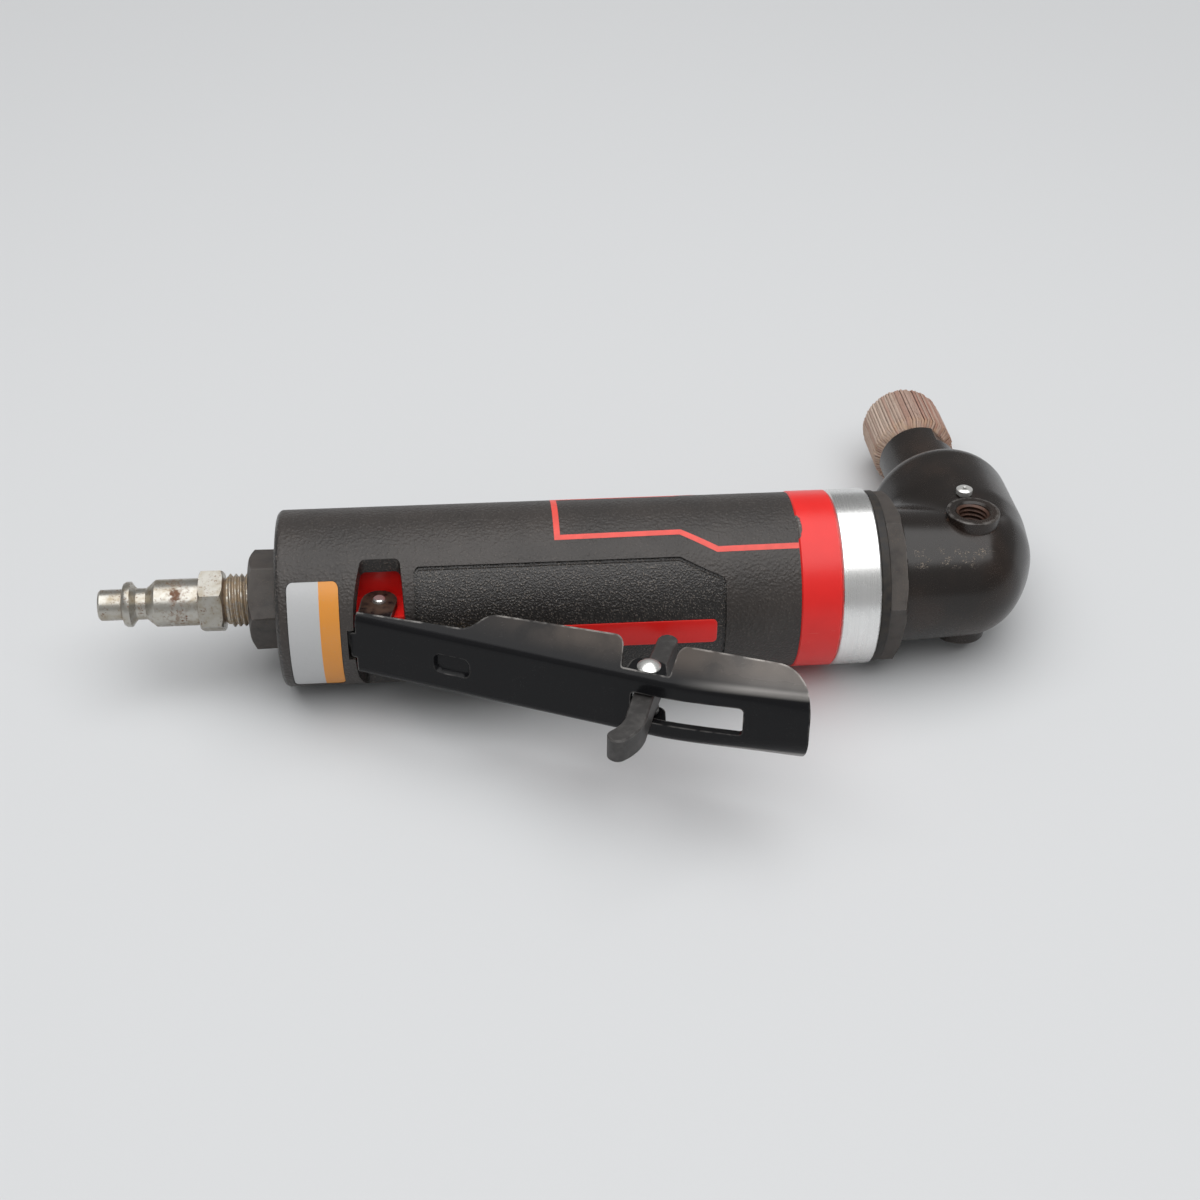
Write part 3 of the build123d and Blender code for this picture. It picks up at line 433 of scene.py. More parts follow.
def latchSteel():
    look = latchLook
    f = Finish("latch_steel")
    edge = f.outerEdge(0.5) * f.step(f.noise(1.8, 3.0), 0.36, 0.64)
    cloud = f.noise(2.2, 4.0)
    specks = f.step(f.noise(0.3, 1.0), 0.70, 0.78)
    bare = f.step(cloud, 0.4, 0.8) * 0.12 + specks * 0.12 + edge * 0.40
    color = f.mix(bare, look["color"], look["bare"])
    roughness = look["roughness"] + f.step(cloud, 0.3, 0.8) * 0.08
    height = f.noise(0.4, 3.0) * 0.015
    return f.done(color, roughness, edge * 0.4, f.bump(height, 1.0))


# Plug, pins and grease fitting: zinc plate, tarnished, with a rust patch and old sealant in the thread
zincLook = {
    "bright": tint(0.84, 0.84, 0.82),
    "aged": tint(0.47, 0.455, 0.415),
    "stain": tint(0.33, 0.275, 0.195),
    "rust": tint(0.17, 0.085, 0.048),
    "sealant": tint(0.34, 0.245, 0.145),
    "patchX": -107.2,
    "patchTurn": 38.0,
    "patchReach": (17.0, 8.0),
    "threadStart": -95.4,
    "threadEnd": -86.0,
    "roughness": 0.28,
}


def zincPlate(name, stained):
    look = zincLook
    f = Finish(name)
    cloud = f.step(f.noise(3.6, 4.0), 0.42, 0.70)
    tarnish = f.step(f.noise(1.0, 4.0), 0.50, 0.74) * stained
    ragged = f.noise(1.0, 4.0) - 0.5
    angle = f.maths("ARCTAN2", f.y * -1.0, f.z)
    patch = f.step(abs(f.x - look["patchX"] + ragged * 3.0), 1.5, 0.7)
    outer, inner = look["patchReach"]
    turned = abs(angle - radians(look["patchTurn"]) + ragged * 0.6)
    patch = patch * f.step(turned, radians(outer), radians(inner)) * stained
    belt = f.step(abs(f.x - look["patchX"]), 4.4, 1.2)
    belt = belt * f.step(f.noise(0.9, 4.0), 0.44, 0.64) * stained
    pits = f.step(f.noise(0.6, 4.0), 0.55, 0.66)
    pits = pits * f.step(f.noise(2.6, 3.0), 0.42, 0.60) * stained
    corner = f.crevice(0.9) * stained
    inThread = f.step(f.x, look["threadStart"] - 0.1, look["threadStart"] + 0.2)
    inThread = inThread * f.step(f.x, look["threadEnd"] + 0.3, look["threadEnd"]) * stained
    grime = inThread * f.step(f.noise(1.1, 4.0), 0.32, 0.60)
    base = look["aged" if stained else "bright"]
    color = f.mix(cloud * (0.10 + 0.55 * stained) + tarnish * 0.45, base, look["stain"])
    color = f.mix(pits * 0.75 + corner * 0.55 + patch * 0.80 + belt * 0.45, color, look["rust"])
    color = f.mix(grime * 0.78, color, look["sealant"])
    dull = f.maths("MINIMUM", patch + pits * 0.6 + grime * 0.9 + corner * 0.4 + belt * 0.3, 1.0)
    roughness = look["roughness"] + cloud * 0.08 + tarnish * 0.08 + dull * 0.32
    metallic = 0.80 + 0.10 * stained - dull * 0.65
    height = f.noise(0.35, 3.0) * 0.008 + patch * 0.02 - pits * 0.008
    return f.done(color, roughness, metallic, f.bump(height, 1.0))


# Flap wheel: resin cloth flaps, red-brown where fresh, grey where worn, with painted shade darkening the
# creases and lines between them
flapLook = {
    "color": tint(0.31, 0.150, 0.112),
    "pale": tint(0.545, 0.430, 0.355),
    "darkStainAndShade": tint(0.125, 0.055, 0.040),
    "dust": tint(0.44, 0.290, 0.165),
    "dustY": (61.0, 67.0),
    "lines": 84,
}


def abrasiveCloth():
    look = flapLook
    f = Finish("abrasive_cloth")
    tone = f.node("ShaderNodeAttribute", {"attribute_name": "flapTone"}, out="Fac")
    grit = f.noise(0.18, 2.0)
    weave = f.noise(1.2, 4.0, f.stretched(1.0, 0.35, 1.0))
    worn = f.step(f.x, spindleX + 3.0, spindleX - 9.5)
    share = 0.12 + tone * 0.66 + (weave - 0.45) * 0.4 + worn * 0.36
    color = f.mix(f.maths("MINIMUM", share, 1.0), look["color"], look["pale"])
    near = f.step(f.y, look["dustY"][1], look["dustY"][0])
    color = f.mix(near * f.step(f.noise(1.4, 3.0), 0.30, 0.65) * 0.45, color, look["dust"])
    # painted shade: thin dark lines round the wheel between the flaps, stronger at the end nearer the head
    angle = f.maths("ARCTAN2", f.x - spindleX, f.z) + f.noise(3.0) * 0.08
    line = f.step(f.maths("PINGPONG", angle * look["lines"] / (2 * pi), 0.5), 0.20, 0.06)
    line = line * (0.14 + near * 0.40) * f.step(f.noise(1.8, 3.0), 0.34, 0.60)
    stain = f.step(tone, 0.62, 0.95) * 0.30 + f.step(f.noise(2.2, 4.0), 0.52, 0.74) * 0.26
    fray = f.step(grit, 0.55, 0.74) * 0.30
    # painted shade in the creases between the flaps
    paintedCreaseShade = f.crevice(0.55) * (0.25 + 0.40 * f.step(f.noise(5.0, 3.0), 0.35, 0.60))
    # the dark colour goes on frayed grit and stains, and as painted shade on creases and lines
    color = f.mix(fray + paintedCreaseShade + line + stain * (1 - worn * 0.6), color, look["darkStainAndShade"])
    return f.done(color, 0.90, normal=f.bump(grit, 0.06))


# Everything shut away inside, and the small plain parts, share one maker
plainLooks = {
    "spacer_black": {"color": (0.010, 0.009, 0.009), "second": (0.038, 0.030, 0.023), "rough": 0.60},
    "vent_black": {"color": (0.020, 0.020, 0.021), "second": (0.040, 0.038, 0.036), "rough": 0.55},
    "felt": {"color": (0.28, 0.27, 0.25), "second": (0.14, 0.13, 0.12), "rough": 0.95},
    "brass": {"color": (0.72, 0.50, 0.18), "second": (0.45, 0.30, 0.11), "rough": 0.30, "metal": 1},
    "seal_rubber": {"color": (0.014, 0.014, 0.014), "second": (0.030, 0.029, 0.028), "rough": 0.60},
    "spring_steel": {"color": (0.52, 0.51, 0.50), "second": (0.30, 0.29, 0.28), "rough": 0.32, "metal": 1},
    "cylinder_iron": {"color": (0.3, 0.3, 0.3), "second": (0.19, 0.185, 0.18), "rough": 0.38, "metal": 1},
    "bearing_steel": {"color": (0.68, 0.68, 0.68), "second": (0.50, 0.50, 0.50), "rough": 0.18, "metal": 1},
    "vane_fibre": {"color": (0.22, 0.10, 0.045), "second": (0.12, 0.055, 0.028), "rough": 0.65},
    "resin": {"color": (0.20, 0.11, 0.06), "second": (0.10, 0.055, 0.032), "rough": 0.70},
}


def plainFinish(name, look):
    f = Finish(name)
    cloud = f.step(f.noise(1.8, 4.0), 0.3, 0.72)
    grain = f.noise(0.25, 3.0)
    color = f.mix(cloud * 0.8, tint(*look["color"]), tint(*look["second"]))
    roughness = look["rough"] + cloud * 0.1 - f.step(grain, 0.3, 0.8) * 0.05
    return f.done(color, roughness, look.get("metal", 0.0), f.bump(grain, 0.02))


finishes = {name: plainFinish(name, look) for name, look in plainLooks.items()}
finishes["grip_black"] = gripRubber()
finishes["red_body"] = redMoulding()
finishes["ring_aluminium"] = turnedAluminium()
finishes["black_steel"] = blackOxide("black_oxide", 0.0)
finishes["lever_black"] = leverSteel()
finishes["latch_grey"] = latchSteel()
finishes["plated_steel"] = zincPlate("zinc_bright", 0.0)
finishes["abrasive_cloth"] = abrasiveCloth()
finishes["stained_steel"] = zincPlate("zinc_stained", 1.0)
finishes["worn_steel"] = blackOxide("worn_oxide", 1.0)
wornNodes = ["clamp_nut", "inlet_bushing"]

for name, node in frame["nodes"].items():
    for slot in node.material_slots:
        wanted = "worn_steel" if name in wornNodes else slot.material.name.split(".")[0]
        slot.link = "OBJECT"
        slot.material = finishes[wanted]
print("finishes made:", len(finishes))


# Making pieces
def newPiece(name, mesh, body, slotName, *nodes):
    piece = bpy.data.objects.new(name, mesh)
    bpy.context.scene.collection.objects.link(piece)
    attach(piece, body)
    if nodes:
        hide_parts(*nodes)


def shadeByAngle(mesh, angle=32):
    mesh.polygons.foreach_set("use_smooth", [True] * len(mesh.polygons))
    mesh.set_sharp_from_angle(angle=radians(angle))


def mergedCopy(node, mesh=None):
    mesh = mesh or frame["nodes"][node].data.copy()
    work = bmesh.new()
    work.from_mesh(mesh)
    bmesh.ops.remove_doubles(work, verts=work.verts, dist=0.001 * mm)
    work.to_mesh(mesh)
    work.free()
    if "custom_normal" in mesh.attributes:
        mesh.attributes.remove(mesh.attributes["custom_normal"])
    mesh.materials.clear()
    return mesh


def newTree(name, inputs):
    tree = bpy.data.node_groups.new(name, "GeometryNodeTree")
    for label, kind in inputs.items():
        tree.interface.new_socket(label, in_out="INPUT", socket_type="NodeSocket" + kind)
    tree.interface.new_socket("Geometry", in_out="OUTPUT", socket_type="NodeSocketGeometry")
    graph = Graph(tree)
    source = graph.node("NodeGroupInput")
    return graph, {label: source.output(label) for label in inputs}


def endTree(graph, shape, material):
    solid = graph.node("GeometryNodeRealizeInstances", None, {0: shape})
    coated = graph.node("GeometryNodeSetMaterial", None, {"Geometry": solid, "Material": material})
    graph.node("NodeGroupOutput", None, {0: coated})
    return graph.tree


def grow(name, tree, values, place):
    holder = bpy.data.objects.new(name + "_holder", bpy.data.meshes.new(name + "_holder"))
    bpy.context.scene.collection.objects.link(holder)
    growth = holder.modifiers.new("growth", "NODES")
    growth.node_group = tree
    for item in tree.interface.items_tree:
        if item.in_out == "INPUT" and item.name in values:
            growth[item.identifier] = values[item.name]
    bpy.context.view_layer.update()
    grown = holder.evaluated_get(bpy.context.evaluated_depsgraph_get())
    mesh = bpy.data.meshes.new_from_object(grown)
    holder.modifiers.remove(growth)
    bpy.data.objects.remove(holder)
    mesh.name = name
    mesh.transform(toolFrame @ place)
    return mesh


# Thread ridges, wound round local Z from a trapezoid
def threadTree():
    sizes = ["Turns", "Start Radius", "End Radius", "Height"]
    sizes += ["Depth", "Root Width", "Crest Width", "Inward"]
    g, given = newTree("thread_ridge", dict.fromkeys(sizes, "Float") | {"Material": "Material"})
    spiral = g.node("GeometryNodeCurveSpiral", None, {
        "Resolution": 48, "Rotations": given["Turns"], "Start Radius": given["Start Radius"],
        "End Radius": given["End Radius"], "Height": given["Height"], "Reverse": True,
    })
    spiral = g.node("GeometryNodeSetCurveNormal", {"mode": "Z_UP"}, {"Curve": spiral})
    ridge = g.node("GeometryNodeCurvePrimitiveQuadrilateral", {"mode": "TRAPEZOID"}, {
        "Bottom Width": given["Root Width"], "Top Width": given["Crest Width"], "Offset": 0.0,
        "Height": given["Depth"],
    })
    turn = g.node("ShaderNodeCombineXYZ", None, {2: (given["Inward"] - 0.5) * pi})
    ridge = g.node("GeometryNodeTransform", None, {"Geometry": ridge, "Rotation": turn})
    wound = {"Curve": spiral, "Profile Curve": ridge, "Fill Caps": True}
    return endTree(g, g.node("GeometryNodeCurveToMesh", None, wound), given["Material"])


threadRidge = threadTree()


def woundRidges(name, look, middle, inward, slotName, material, place):
    run = look["turns"] * look["pitch"]
    values = {
        "Turns": look["turns"], "Height": run, "Start Radius": middle,
        "End Radius": middle - run * look["taper"] / 2, "Depth": look["depth"] + look["overlap"],
        "Root Width": look["pitch"] * look["rootShare"], "Crest Width": look["pitch"] * look["crestShare"],
        "Inward": inward, "Material": material,
    }
    ridges = grow(name, threadRidge, values, place)
    shadeByAngle(ridges)
    newPiece(name, ridges, "housing", slotName)


# Air plug: the solid's thread stretch is turned down to the root and the ridges are wound over it
plugThread = {
    "start": -95.0, "runIn": 0.5, "turns": 7, "pitch": 1.41, "crest": 6.8, "depth": 0.75, "taper": 1 / 16,
    "skin": 1.0, "sink": 0.02, "overlap": 0.04, "rootShare": 0.92, "crestShare": 0.16,
}


def threadedPlug():
    look = plugThread
    mesh = mergedCopy("air_plug")
    for vertex in mesh.vertices:
        spot = toTool @ vertex.co
        reach = Vector((0, spot.y, spot.z))
        if spot.x > look["start"] - look["runIn"] and reach.length > look["crest"] - look["skin"]:
            spot -= reach.normalized() * look["depth"]
            vertex.co = toolFrame @ spot
    shadeByAngle(mesh)
    mesh.materials.append(finishes["stained_steel"])
    newPiece("plug_body", mesh, "housing", "plated_steel", "air_plug")
    middle = look["crest"] - look["depth"] / 2 - look["sink"]
    place = Matrix.Translation((look["start"] + look["runIn"], 0, 0)) @ Matrix.Rotation(pi / 2, 4, "Y")
    woundRidges("plug_thread", look, middle, 0.0, "plated_steel", finishes["stained_steel"], place)


threadedPlug()
print("air plug threaded")

# Angle head: the solid's nose drawn in a little and its spindle barrel filled out, so both end in a dome.
# A pair fades the change, from none at its first value to all of it at its second
headShape = {
    "barrel": 17.5, "barrelStart": 76.1, "barrelTaper": 0.0441, "nose": 110.8, "noseRound": 15.4,
    "bullet": 19.0, "throat": 17.5, "throatY": -1.0, "throatTaper": 0.1238, "bottom": -9.0,
    "bottomRound": 13.0, "blend": 3.0, "boss": (7.0, 10.5), "facing": (-0.1, 0.35), "upper": (25.0, 19.0),
    "deepest": -2.0, "farthest": 4.0, "axisGap": 0.5, "leastTurn": 0.2, "leastSlope": 0.25, "probe": 0.05,
    "rounds": 6,
}


def roundedCorner(first, second, radius):
    inside = min(max(first, second) + radius, 0)
    return hypot(max(first + radius, 0), max(second + radius, 0)) + inside - radius


def aboveHead(spot):  # height over the wanted surface, in millimetres
    look = headShape
    wall = look["barrel"] - look["barrelTaper"] * (spot.x - look["barrelStart"])
    barrel = roundedCorner(hypot(spot.y, spot.z) - wall, spot.x - look["nose"], look["noseRound"])
    wall = min(look["throat"] + look["throatTaper"] * (spot.y - look["throatY"]), look["bullet"])
    bullet = hypot(spot.x - spindleX, spot.z) - wall
    bullet = roundedCorner(bullet, look["bottom"] - spot.y, look["bottomRound"])
    share = max(1 - abs(barrel - bullet) / look["blend"], 0)
    return min(barrel, bullet) - share * share * look["blend"] / 4


def headNormal(spot):  # straight out of the wanted surface
    probe = headShape["probe"]
    steps = [Vector([probe * (axis == along) for axis in range(3)]) for along in range(3)]
    return Vector([aboveHead(spot + step) - aboveHead(spot - step) for step in steps]).normalized()


def smoothShare(value, low, high):  # 0 at low, 1 at high, smooth between
    share = min(max((value - low) / (high - low), 0.0), 1.0)
    return share * share * (3 - 2 * share)


def domedHead():
    look = headShape
    mesh = frame["nodes"]["angle_head"].data.copy()
    kept = mesh.attributes.new("kept", "FLOAT_VECTOR", "CORNER")  # the solid's own smooth shading
    for item, corner in zip(kept.data, mesh.corner_normals):
        item.vector = corner.vector
    mesh = mergedCopy("angle_head", mesh)
    turn = toolTurn.transposed()
    normals = [Vector(item.vector) for item in mesh.attributes["kept"].data]
    mesh.attributes.remove(mesh.attributes["kept"])
    facing = [Vector() for vertex in mesh.vertices]
    for loop in mesh.loops:
        facing[loop.vertex_index] += toolTurn @ normals[loop.index]
    moved = {}
    for vertex in mesh.vertices:
        spot = toTool @ vertex.co
        reach = Vector((spot.x - spindleX, 0, spot.z))
        if reach.length < look["axisGap"] or aboveHead(spot) < look["deepest"]:
            continue
        out = reach.normalized()
        if headNormal(spot).dot(facing[vertex.index].normalized()) < look["leastTurn"]:
            continue
        share = smoothShare(out.x, *look["facing"]) * smoothShare(spot.y, *look["upper"])
        share *= smoothShare(hypot(spot.x - spindleX, spot.y), *look["boss"])
        wanted = spot.copy()
        step = out * look["probe"]
        for attempt in range(look["rounds"]):
            slope = (aboveHead(wanted + step) - aboveHead(wanted - step)) / (2 * look["probe"])
            wanted -= out * aboveHead(wanted) / max(slope, look["leastSlope"])
        if share and (wanted - spot).length < look["farthest"]:
            vertex.co = toolFrame @ spot.lerp(wanted, share)
            moved[vertex.index] = (headNormal(wanted), share)
    for loop in mesh.loops:
        if loop.vertex_index in moved:
            normal, share = moved[loop.vertex_index]
            normals[loop.index] = normals[loop.index].lerp(turn @ normal, share).normalized()
    shadeByAngle(mesh)
    mesh.normals_split_custom_set(normals)
    mesh.materials.append(finishes["black_steel"])
    newPiece("head_casting", mesh, "housing", "black_steel", "angle_head")
    return len(moved)


print("head domed,", domedHead(), "points moved")

# Latch pin: the domed head drawn in to the width that the photograph shows
rivetShape = {"base": 0.05, "share": 0.79, "rim": 0.6}


def latchRivet():
    look = rivetShape
    mesh = mergedCopy("latch_pin")
    pivot = toTool @ Vector(joints["latch_pivot"]["pos_m"])
    spots = [toTool @ vertex.co - pivot for vertex in mesh.vertices]
    widest = max(hypot(spot.x, spot.y) for spot in spots)
    base = min(spot.z for spot in spots if hypot(spot.x, spot.y) > widest - look["base"])
    for vertex, spot in zip(mesh.vertices, spots):
        if spot.z > base + look["base"] or hypot(spot.x, spot.y) > widest * look["rim"]:
            spot.xy *= look["share"]
            vertex.co = toolFrame @ (pivot + spot)
    shadeByAngle(mesh)
    mesh.materials.append(finishes["plated_steel"])
    newPiece("latch_rivet", mesh, "lever", "plated_steel", "latch_pin")


latchRivet()
print("latch pin domed")


def valveCoil():
    mesh = mergedCopy("valve_spring")
    shadeByAngle(mesh)
    mesh.materials.append(finishes["spring_steel"])
    coil = bpy.data.objects.new("valve_coil", mesh)
    bpy.context.scene.collection.objects.link(coil)
    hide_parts("valve_spring")
    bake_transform(coil)


valveCoil()

# Side handle holes: the same ridges turned inward, rusty
handleThread = {
    "wall": 4.25, "mouth": 18.1, "lip": 0.2, "turns": 3.6, "pitch": 1.25, "depth": 0.62, "taper": 0.0,
    "sink": 0.03, "overlap": 0.04, "rootShare": 0.9, "crestShare": 0.2,
}


def threadedHoles():
    look = handleThread
    run = look["turns"] * look["pitch"]
    middle = look["wall"] - look["depth"] / 2 + look["sink"]
    rust = finishes["thread_rust"]
    for name, side in (("upper", 0), ("lower", pi)):
        place = Matrix.Translation((spindleX, 0, 0)) @ Matrix.Rotation(side, 4, "X")
        place = place @ Matrix.Translation((0, 0, look["mouth"] - run - look["lip"]))
        woundRidges(name + "_handle_thread", look, middle, 1.0, "black_steel", rust, place)


rustLook = {"color": (0.045, 0.021, 0.014), "second": (0.105, 0.048, 0.029), "rough": 0.40, "metal": 0.3}
finishes["thread_rust"] = plainFinish("thread_rust", rustLook)
threadedHoles()
print("handle holes threaded")

# Flap wheel: worn cloth flaps packed round the hub
flapWheel = {
    "flaps": 80, "hub": 4.82, "rim": 11.5, "hubThickness": 0.36, "rimThickness": 0.92, "farRound": 3.2,
    "nearRound": 2.0, "lean": 0.9, "ragged": 0.45, "seed": 7, "crown": 0.10, "uneven": 0.16,
    "thick": (0.86, 1.0), "tall": (0.975, 1.0), "long": (0.955, 0.975),
}


def flapTree():
    look = flapWheel
    sizes = ["Hub", "Rim", "Length", "Hub Thickness", "Rim Thickness"]
    sizes += ["Far Round", "Near Round", "Lean", "Ragged"]
    kinds = {"Flaps": "Int", "Seed": "Int", "Material": "Material"}
    g, given = newTree("flap_wheel", dict.fromkeys(sizes, "Float") | kinds)
    flap = g.node("GeometryNodeMeshCube", None, {
        "Size": (1, 1, 1), "Vertices X": 3, "Vertices Y": 4, "Vertices Z": 14,
    })
    across = g.node("ShaderNodeSeparateXYZ", None, {0: g.node("GeometryNodeInputPosition")})
    out = across.output(1) + 0.5
    along = (across.output(2) + 0.5) * given["Length"]
    farIn = g.maths("MAXIMUM", along - given["Length"] + given["Far Round"], 0.0)
    nearIn = g.maths("MAXIMUM", given["Near Round"] - along, 0.0)
    farDrop = given["Far Round"] - (given["Far Round"] * given["Far Round"] - farIn * farIn) ** 0.5
    nearDrop = given["Near Round"] - (given["Near Round"] * given["Near Round"] - nearIn * nearIn) ** 0.5
    crown = 1 - across * across * look["crown"]
    rim = (given["Rim"] - farDrop - nearDrop) * crown
    reach = given["Hub"] + out * (rim - given["Hub"])
    thickness = given["Hub Thickness"] + out * (given["Rim Thickness"] - given["Hub Thickness"])
    sideways = across * thickness + given["Lean"] * out * out
    shaped = g.node("ShaderNodeCombineXYZ", None, {0: sideways, 1: reach, 2: along})
    flap = g.node("GeometryNodeSetPosition", None, {"Geometry": flap, "Position": shaped})
    spots = g.node("GeometryNodeMeshLine", None, {"Count": given["Flaps"], "Offset": (0, 0, 0)})
    index = g.node("GeometryNodeInputIndex")

    def draw(low, high, shift):
        sockets = {2: low, 3: high, "ID": index, "Seed": given["Seed"] + shift}
        return g.node("FunctionNodeRandomValue", {"data_type": "FLOAT"}, sockets, out=1)

    slide = g.node("ShaderNodeCombineXYZ", None, {2: draw(0.0, 1.0, 5) * given["Ragged"]})
    spots = g.node("GeometryNodeSetPosition", None, {"Geometry": spots, "Offset": slide})
    turn = (index + draw(-look["uneven"], look["uneven"], 0)) * (2 * pi) / given["Flaps"]
    spin = g.node("ShaderNodeCombineXYZ", None, {2: turn})
    scales = {0: draw(*look["thick"], 1), 1: draw(*look["tall"], 2), 2: draw(*look["long"], 4)}
    size = g.node("ShaderNodeCombineXYZ", None, scales)
    fan = g.node("GeometryNodeInstanceOnPoints", None, {
        "Points": spots, "Instance": flap, "Rotation": spin, "Scale": size,
    })
    store = {"data_type": "FLOAT", "domain": "INSTANCE"}
    fan = g.node("GeometryNodeStoreNamedAttribute", store, {
        "Geometry": fan, "Name": "flapTone", "Value": draw(0.0, 1.0, 3),
    })
    return endTree(g, fan, given["Material"])


def flaps():
    look = flapWheel
    low, high = toolBox("wheel_flaps")
    values = {
        "Flaps": look["flaps"], "Hub": look["hub"], "Rim": look["rim"], "Length": high.y - low.y,
        "Hub Thickness": look["hubThickness"], "Rim Thickness": look["rimThickness"],
        "Far Round": look["farRound"], "Near Round": look["nearRound"], "Lean": look["lean"],
        "Ragged": look["ragged"], "Seed": look["seed"], "Material": finishes["abrasive_cloth"],
    }
    place = Matrix.Translation((spindleX, low.y, 0)) @ Matrix.Rotation(-pi / 2, 4, "X")
    mesh = grow("flap_fan", flapTree(), values, place)
    shadeByAngle(mesh, 45)
    newPiece("flap_fan", mesh, "spindle", "abrasive_cloth", "wheel_flaps")


flaps()
print("flap wheel grown with", flapWheel["flaps"], "flaps")


# Shapes wrapped on the grip: x along the tool, turn in degrees from the upper side to the lever side
def onGrip(x, turn, radius):
    return toolFrame @ Vector((x, -radius * sin(radians(turn)), radius * cos(radians(turn))))


# Red line printed on the grip, from the band round the upper side and back to the band
gripLine = {
    "route": [(48.45, 35.2), (28.1, 35.6), (19.1, 22.2), (-11.5, 23.0), (-11.5, -28.0), (19.1, -27.2),
              (28.1, -40.6), (48.45, -40.2)],
    "width": 1.5, "radius": 22.48, "proud": 0.04, "root": 0.12, "step": 0.9,
}


def printedLine():
    look = gripLine
    perDegree = look["radius"] * pi / 180
    route = [Vector((x, turn * perDegree)) for x, turn in look["route"]]
    stations = []
    for index, spot in enumerate(route):
        before = (spot - route[index - 1]).normalized() if index else None
        after = (route[index + 1] - spot).normalized() if index + 1 < len(route) else None
        before = before or after
        after = after or before
        middle = (before + after).normalized()
        side = Vector((-middle.y, middle.x)) / middle.dot(before)
        stations.append((spot, side))
    proud, root = look["proud"], -look["root"]
    work = bmesh.new()
    rows = []
    for (spotA, sideA), (spotB, sideB) in zip(stations, stations[1:]):
        count = max(1, round((spotB - spotA).length / look["step"]))
        first = 0 if not rows else 1
        for step in range(first, count + 1):
            share = step / count
            spot = spotA.lerp(spotB, share)
            side = sideB if step == count else sideA
            if 0 < step < count:
                line = (spotB - spotA).normalized()
                side = Vector((-line.y, line.x))
            row = []
            for edge, lift in ((1, root), (1, proud), (-1, proud), (-1, root)):
                flat = spot + side * edge * look["width"] / 2
                row.append(work.verts.new(onGrip(flat.x, flat.y / perDegree, look["radius"] + lift)))
            rows.append(row)
    for rowA, rowB in zip(rows, rows[1:]):
        for corner in range(4):
            after = (corner + 1) % 4
            work.faces.new((rowA[corner], rowA[after], rowB[after], rowB[corner]))
    work.faces.new(rows[0])
    work.faces.new(rows[-1])
    bmesh.ops.recalc_face_normals(work, faces=work.faces)
    mesh = bpy.data.meshes.new("grip_line")
    work.to_mesh(mesh)
    work.free()
    shadeByAngle(mesh)
    mesh.materials.append(finishes["red_line"])
    newPiece("grip_line", mesh, "housing", "red_body")


inkLook = {"color": (0.82, 0.085, 0.065), "second": (0.70, 0.085, 0.068), "rough": 0.45}
finishes["red_line"] = plainFinish("red_line", inkLook)
printedLine()
print("grip line wrapped")

# Blank plate in the sunk place at the rear of the grip
blankPlate = {
    "x": -71.85, "width": 12.5, "tall": 30.4, "corner": 1.4, "radius": 22.24, "thick": 0.16,
    "white": tint(0.50, 0.505, 0.51), "band": tint(0.74, 0.285, 0.035), "grime": tint(0.36, 0.34, 0.31),
    "bandStart": -70.4, "bandEdge": 0.03, "columns": 20, "rows": 28,
}


def plateFace():
    look = blankPlate
    f = Finish("plate_face")
    band = f.step(f.x - look["bandStart"], -look["bandEdge"], look["bandEdge"])
    scuff = f.step(f.noise(0.5, 3.0), 0.62, 0.75)
    color = f.mix(band, look["white"], look["band"])
    color = f.mix(scuff * 0.22 + f.noise(4.0) * 0.06, color, look["grime"])
    return f.done(color, 0.34 + scuff * 0.2, normal=f.bump(f.noise(0.8, 2.0), 0.015))


def plate():
    look = blankPlate
    columns = look["columns"]
    rows = look["rows"]
    half = look["width"] / 2
    work = bmesh.new()
    layers = []
    for lift in (0.0, look["thick"]):
        grid = []
        for column in range(columns + 1):
            across = -half * cos(pi * column / columns)
            past = max(0.0, abs(across) - (half - look["corner"]))
            trim = look["corner"] - max(0.0, look["corner"] ** 2 - past ** 2) ** 0.5
            tall = look["tall"] / 2 - trim
            line = []
            for row in range(rows + 1):
                turn = 90 - degrees(asin(tall * (2 * row / rows - 1) / look["radius"]))
                line.append(work.verts.new(onGrip(look["x"] + across, turn, look["radius"] + lift)))
            grid.append(line)
        layers.append(grid)
    for grid in layers:
        for lineA, lineB in zip(grid, grid[1:]):
            for row in range(rows):
                work.faces.new((lineA[row], lineA[row + 1], lineB[row + 1], lineB[row]))
    rims = []
    for grid in layers:
        there = [line[0] for line in grid] + grid[-1][1:]
        back = [line[-1] for line in grid[-2::-1]] + grid[0][-2:0:-1]
        rims.append(there + back)
    for index in range(len(rims[0])):
        after = (index + 1) % len(rims[0])
        work.faces.new((rims[0][index], rims[0][after], rims[1][after], rims[1][index]))
    bmesh.ops.recalc_face_normals(work, faces=work.faces)
    mesh = bpy.data.meshes.new("blank_plate")
    work.to_mesh(mesh)
    work.free()
    shadeByAngle(mesh)
    mesh.materials.append(plateFace())
    newPiece("blank_plate", mesh, "housing", "grip_black")


plate()
print("blank plate set in the grip")

# Camera at the photograph's angle
cameraView = {
    "aim": (-0.00015, -0.00245, -0.0027), "distance": 0.4931, "azimuth": -5.46, "elevation": 41.37,
    "roll": 1.33, "lens": 57.425, "sensor": 36.0, "nearest": 0.01,
}


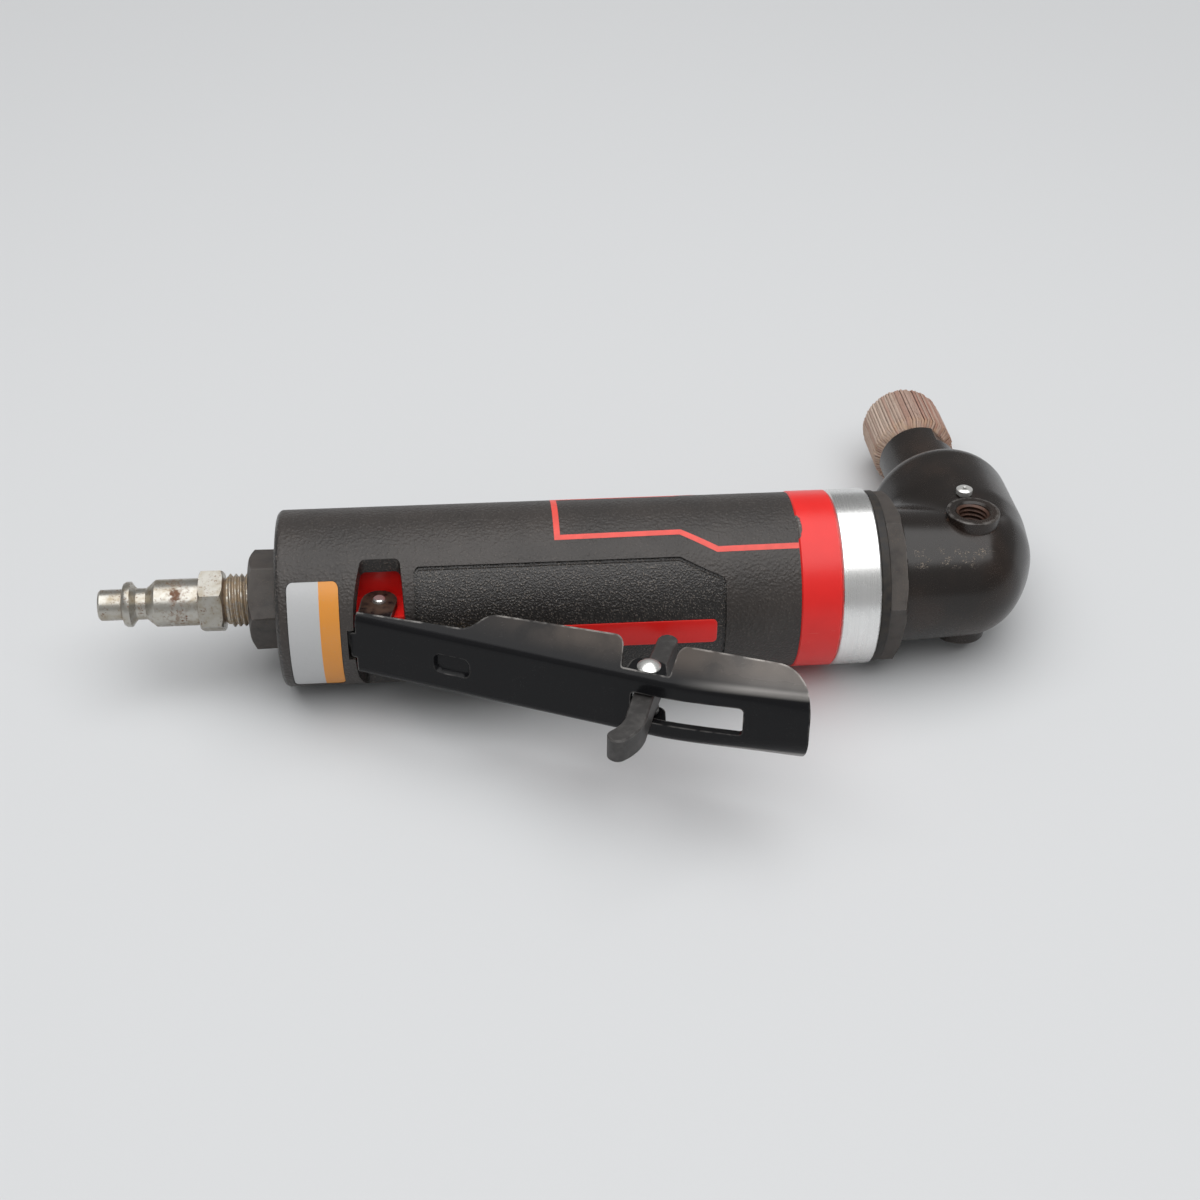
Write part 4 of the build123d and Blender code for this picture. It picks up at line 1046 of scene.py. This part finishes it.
def camera():
    look = cameraView
    turn = radians(look["azimuth"])
    rise = radians(look["elevation"])
    back = Vector((sin(turn) * cos(rise), -cos(turn) * cos(rise), sin(rise)))
    lens = bpy.data.cameras.new("camera")
    lens.lens = look["lens"]
    lens.sensor_width = look["sensor"]
    lens.clip_start = look["nearest"]
    eye = bpy.data.objects.new("camera", lens)
    bpy.context.scene.collection.objects.link(eye)
    eye.rotation_mode = "QUATERNION"
    roll = Quaternion((0, 0, 1), radians(look["roll"]))
    eye.rotation_quaternion = (-back).to_track_quat("-Z", "Y") @ roll
    eye.location = toolOrigin + Vector(look["aim"]) + back * look["distance"]
    bpy.context.scene.camera = eye


# Pale floor, a broad lamp overhead, a dim wide one in front, and an even sky
studio = {
    "floor": tint(0.64, 0.65, 0.66), "floorSize": 60.0, "floorDrop": 0.0002, "sky": 0.26,
    "far": tint(0.71, 0.72, 0.73), "farFrom": 330.0, "farTo": 1000.0,
    "lamps": [
        {"name": "overhead", "at": (0.03, -0.06, 0.95), "size": 1.37, "power": 12.6},
        {"name": "front", "at": (-0.15, -1.1, 0.9), "size": 2.0, "power": 1.6},
    ],
}


def setStudio():
    look = studio
    half = look["floorSize"] / 2
    mesh = bpy.data.meshes.new("floor")
    corners = [(-half, -half, 0), (half, -half, 0), (half, half, 0), (-half, half, 0)]
    mesh.from_pydata(corners, [], [(0, 1, 2, 3)])
    f = Finish("floor_paper")
    near = f.shader(look["floor"], 0.85, normal=f.bump(f.noise(0.6, 3.0), 0.01))
    seen = f.node("ShaderNodeLightPath", out="Is Camera Ray")
    seen = seen + seen.output("Is Glossy Ray") + seen.output("Is Transmission Ray")
    away = f.step((f.x * f.x + f.y * f.y) ** 0.5, look["farFrom"], look["farTo"])
    far = f.node("ShaderNodeEmission", None, {"Color": look["far"], "Strength": 1.0})
    mesh.materials.append(f.close(f.node("ShaderNodeMixShader", None, {0: seen * away, 1: near, 2: far})))
    floor = bpy.data.objects.new("floor", mesh)
    floor.location.z = -look["floorDrop"]
    bpy.context.scene.collection.objects.link(floor)
    world = bpy.data.worlds.new("sky")
    world.use_nodes = True
    sky = Graph(world.node_tree)
    sky.tree.nodes.clear()
    seen = sky.node("ShaderNodeLightPath", out="Is Camera Ray")
    light = sky.node("ShaderNodeBackground", None, {"Color": tint(1.0, 1.0, 1.0), "Strength": look["sky"]})
    far = sky.node("ShaderNodeBackground", None, {"Color": look["far"], "Strength": 1.0})
    shown = sky.node("ShaderNodeMixShader", None, {0: seen, 1: light, 2: far})
    sky.node("ShaderNodeOutputWorld", None, {"Surface": shown})
    bpy.context.scene.world = world
    for lamp in look["lamps"]:
        light = bpy.data.lights.new(lamp["name"], "AREA")
        light.size = lamp["size"]
        light.energy = lamp["power"]
        holder = bpy.data.objects.new(lamp["name"], light)
        holder.location = lamp["at"]
        holder.rotation_mode = "QUATERNION"
        holder.rotation_quaternion = (-Vector(lamp["at"])).to_track_quat("-Z", "Y")
        bpy.context.scene.collection.objects.link(holder)
    bpy.context.scene.view_settings.view_transform = "Standard"


camera()
setStudio()
print("camera and lamps set")

bpy.context.view_layer.update()
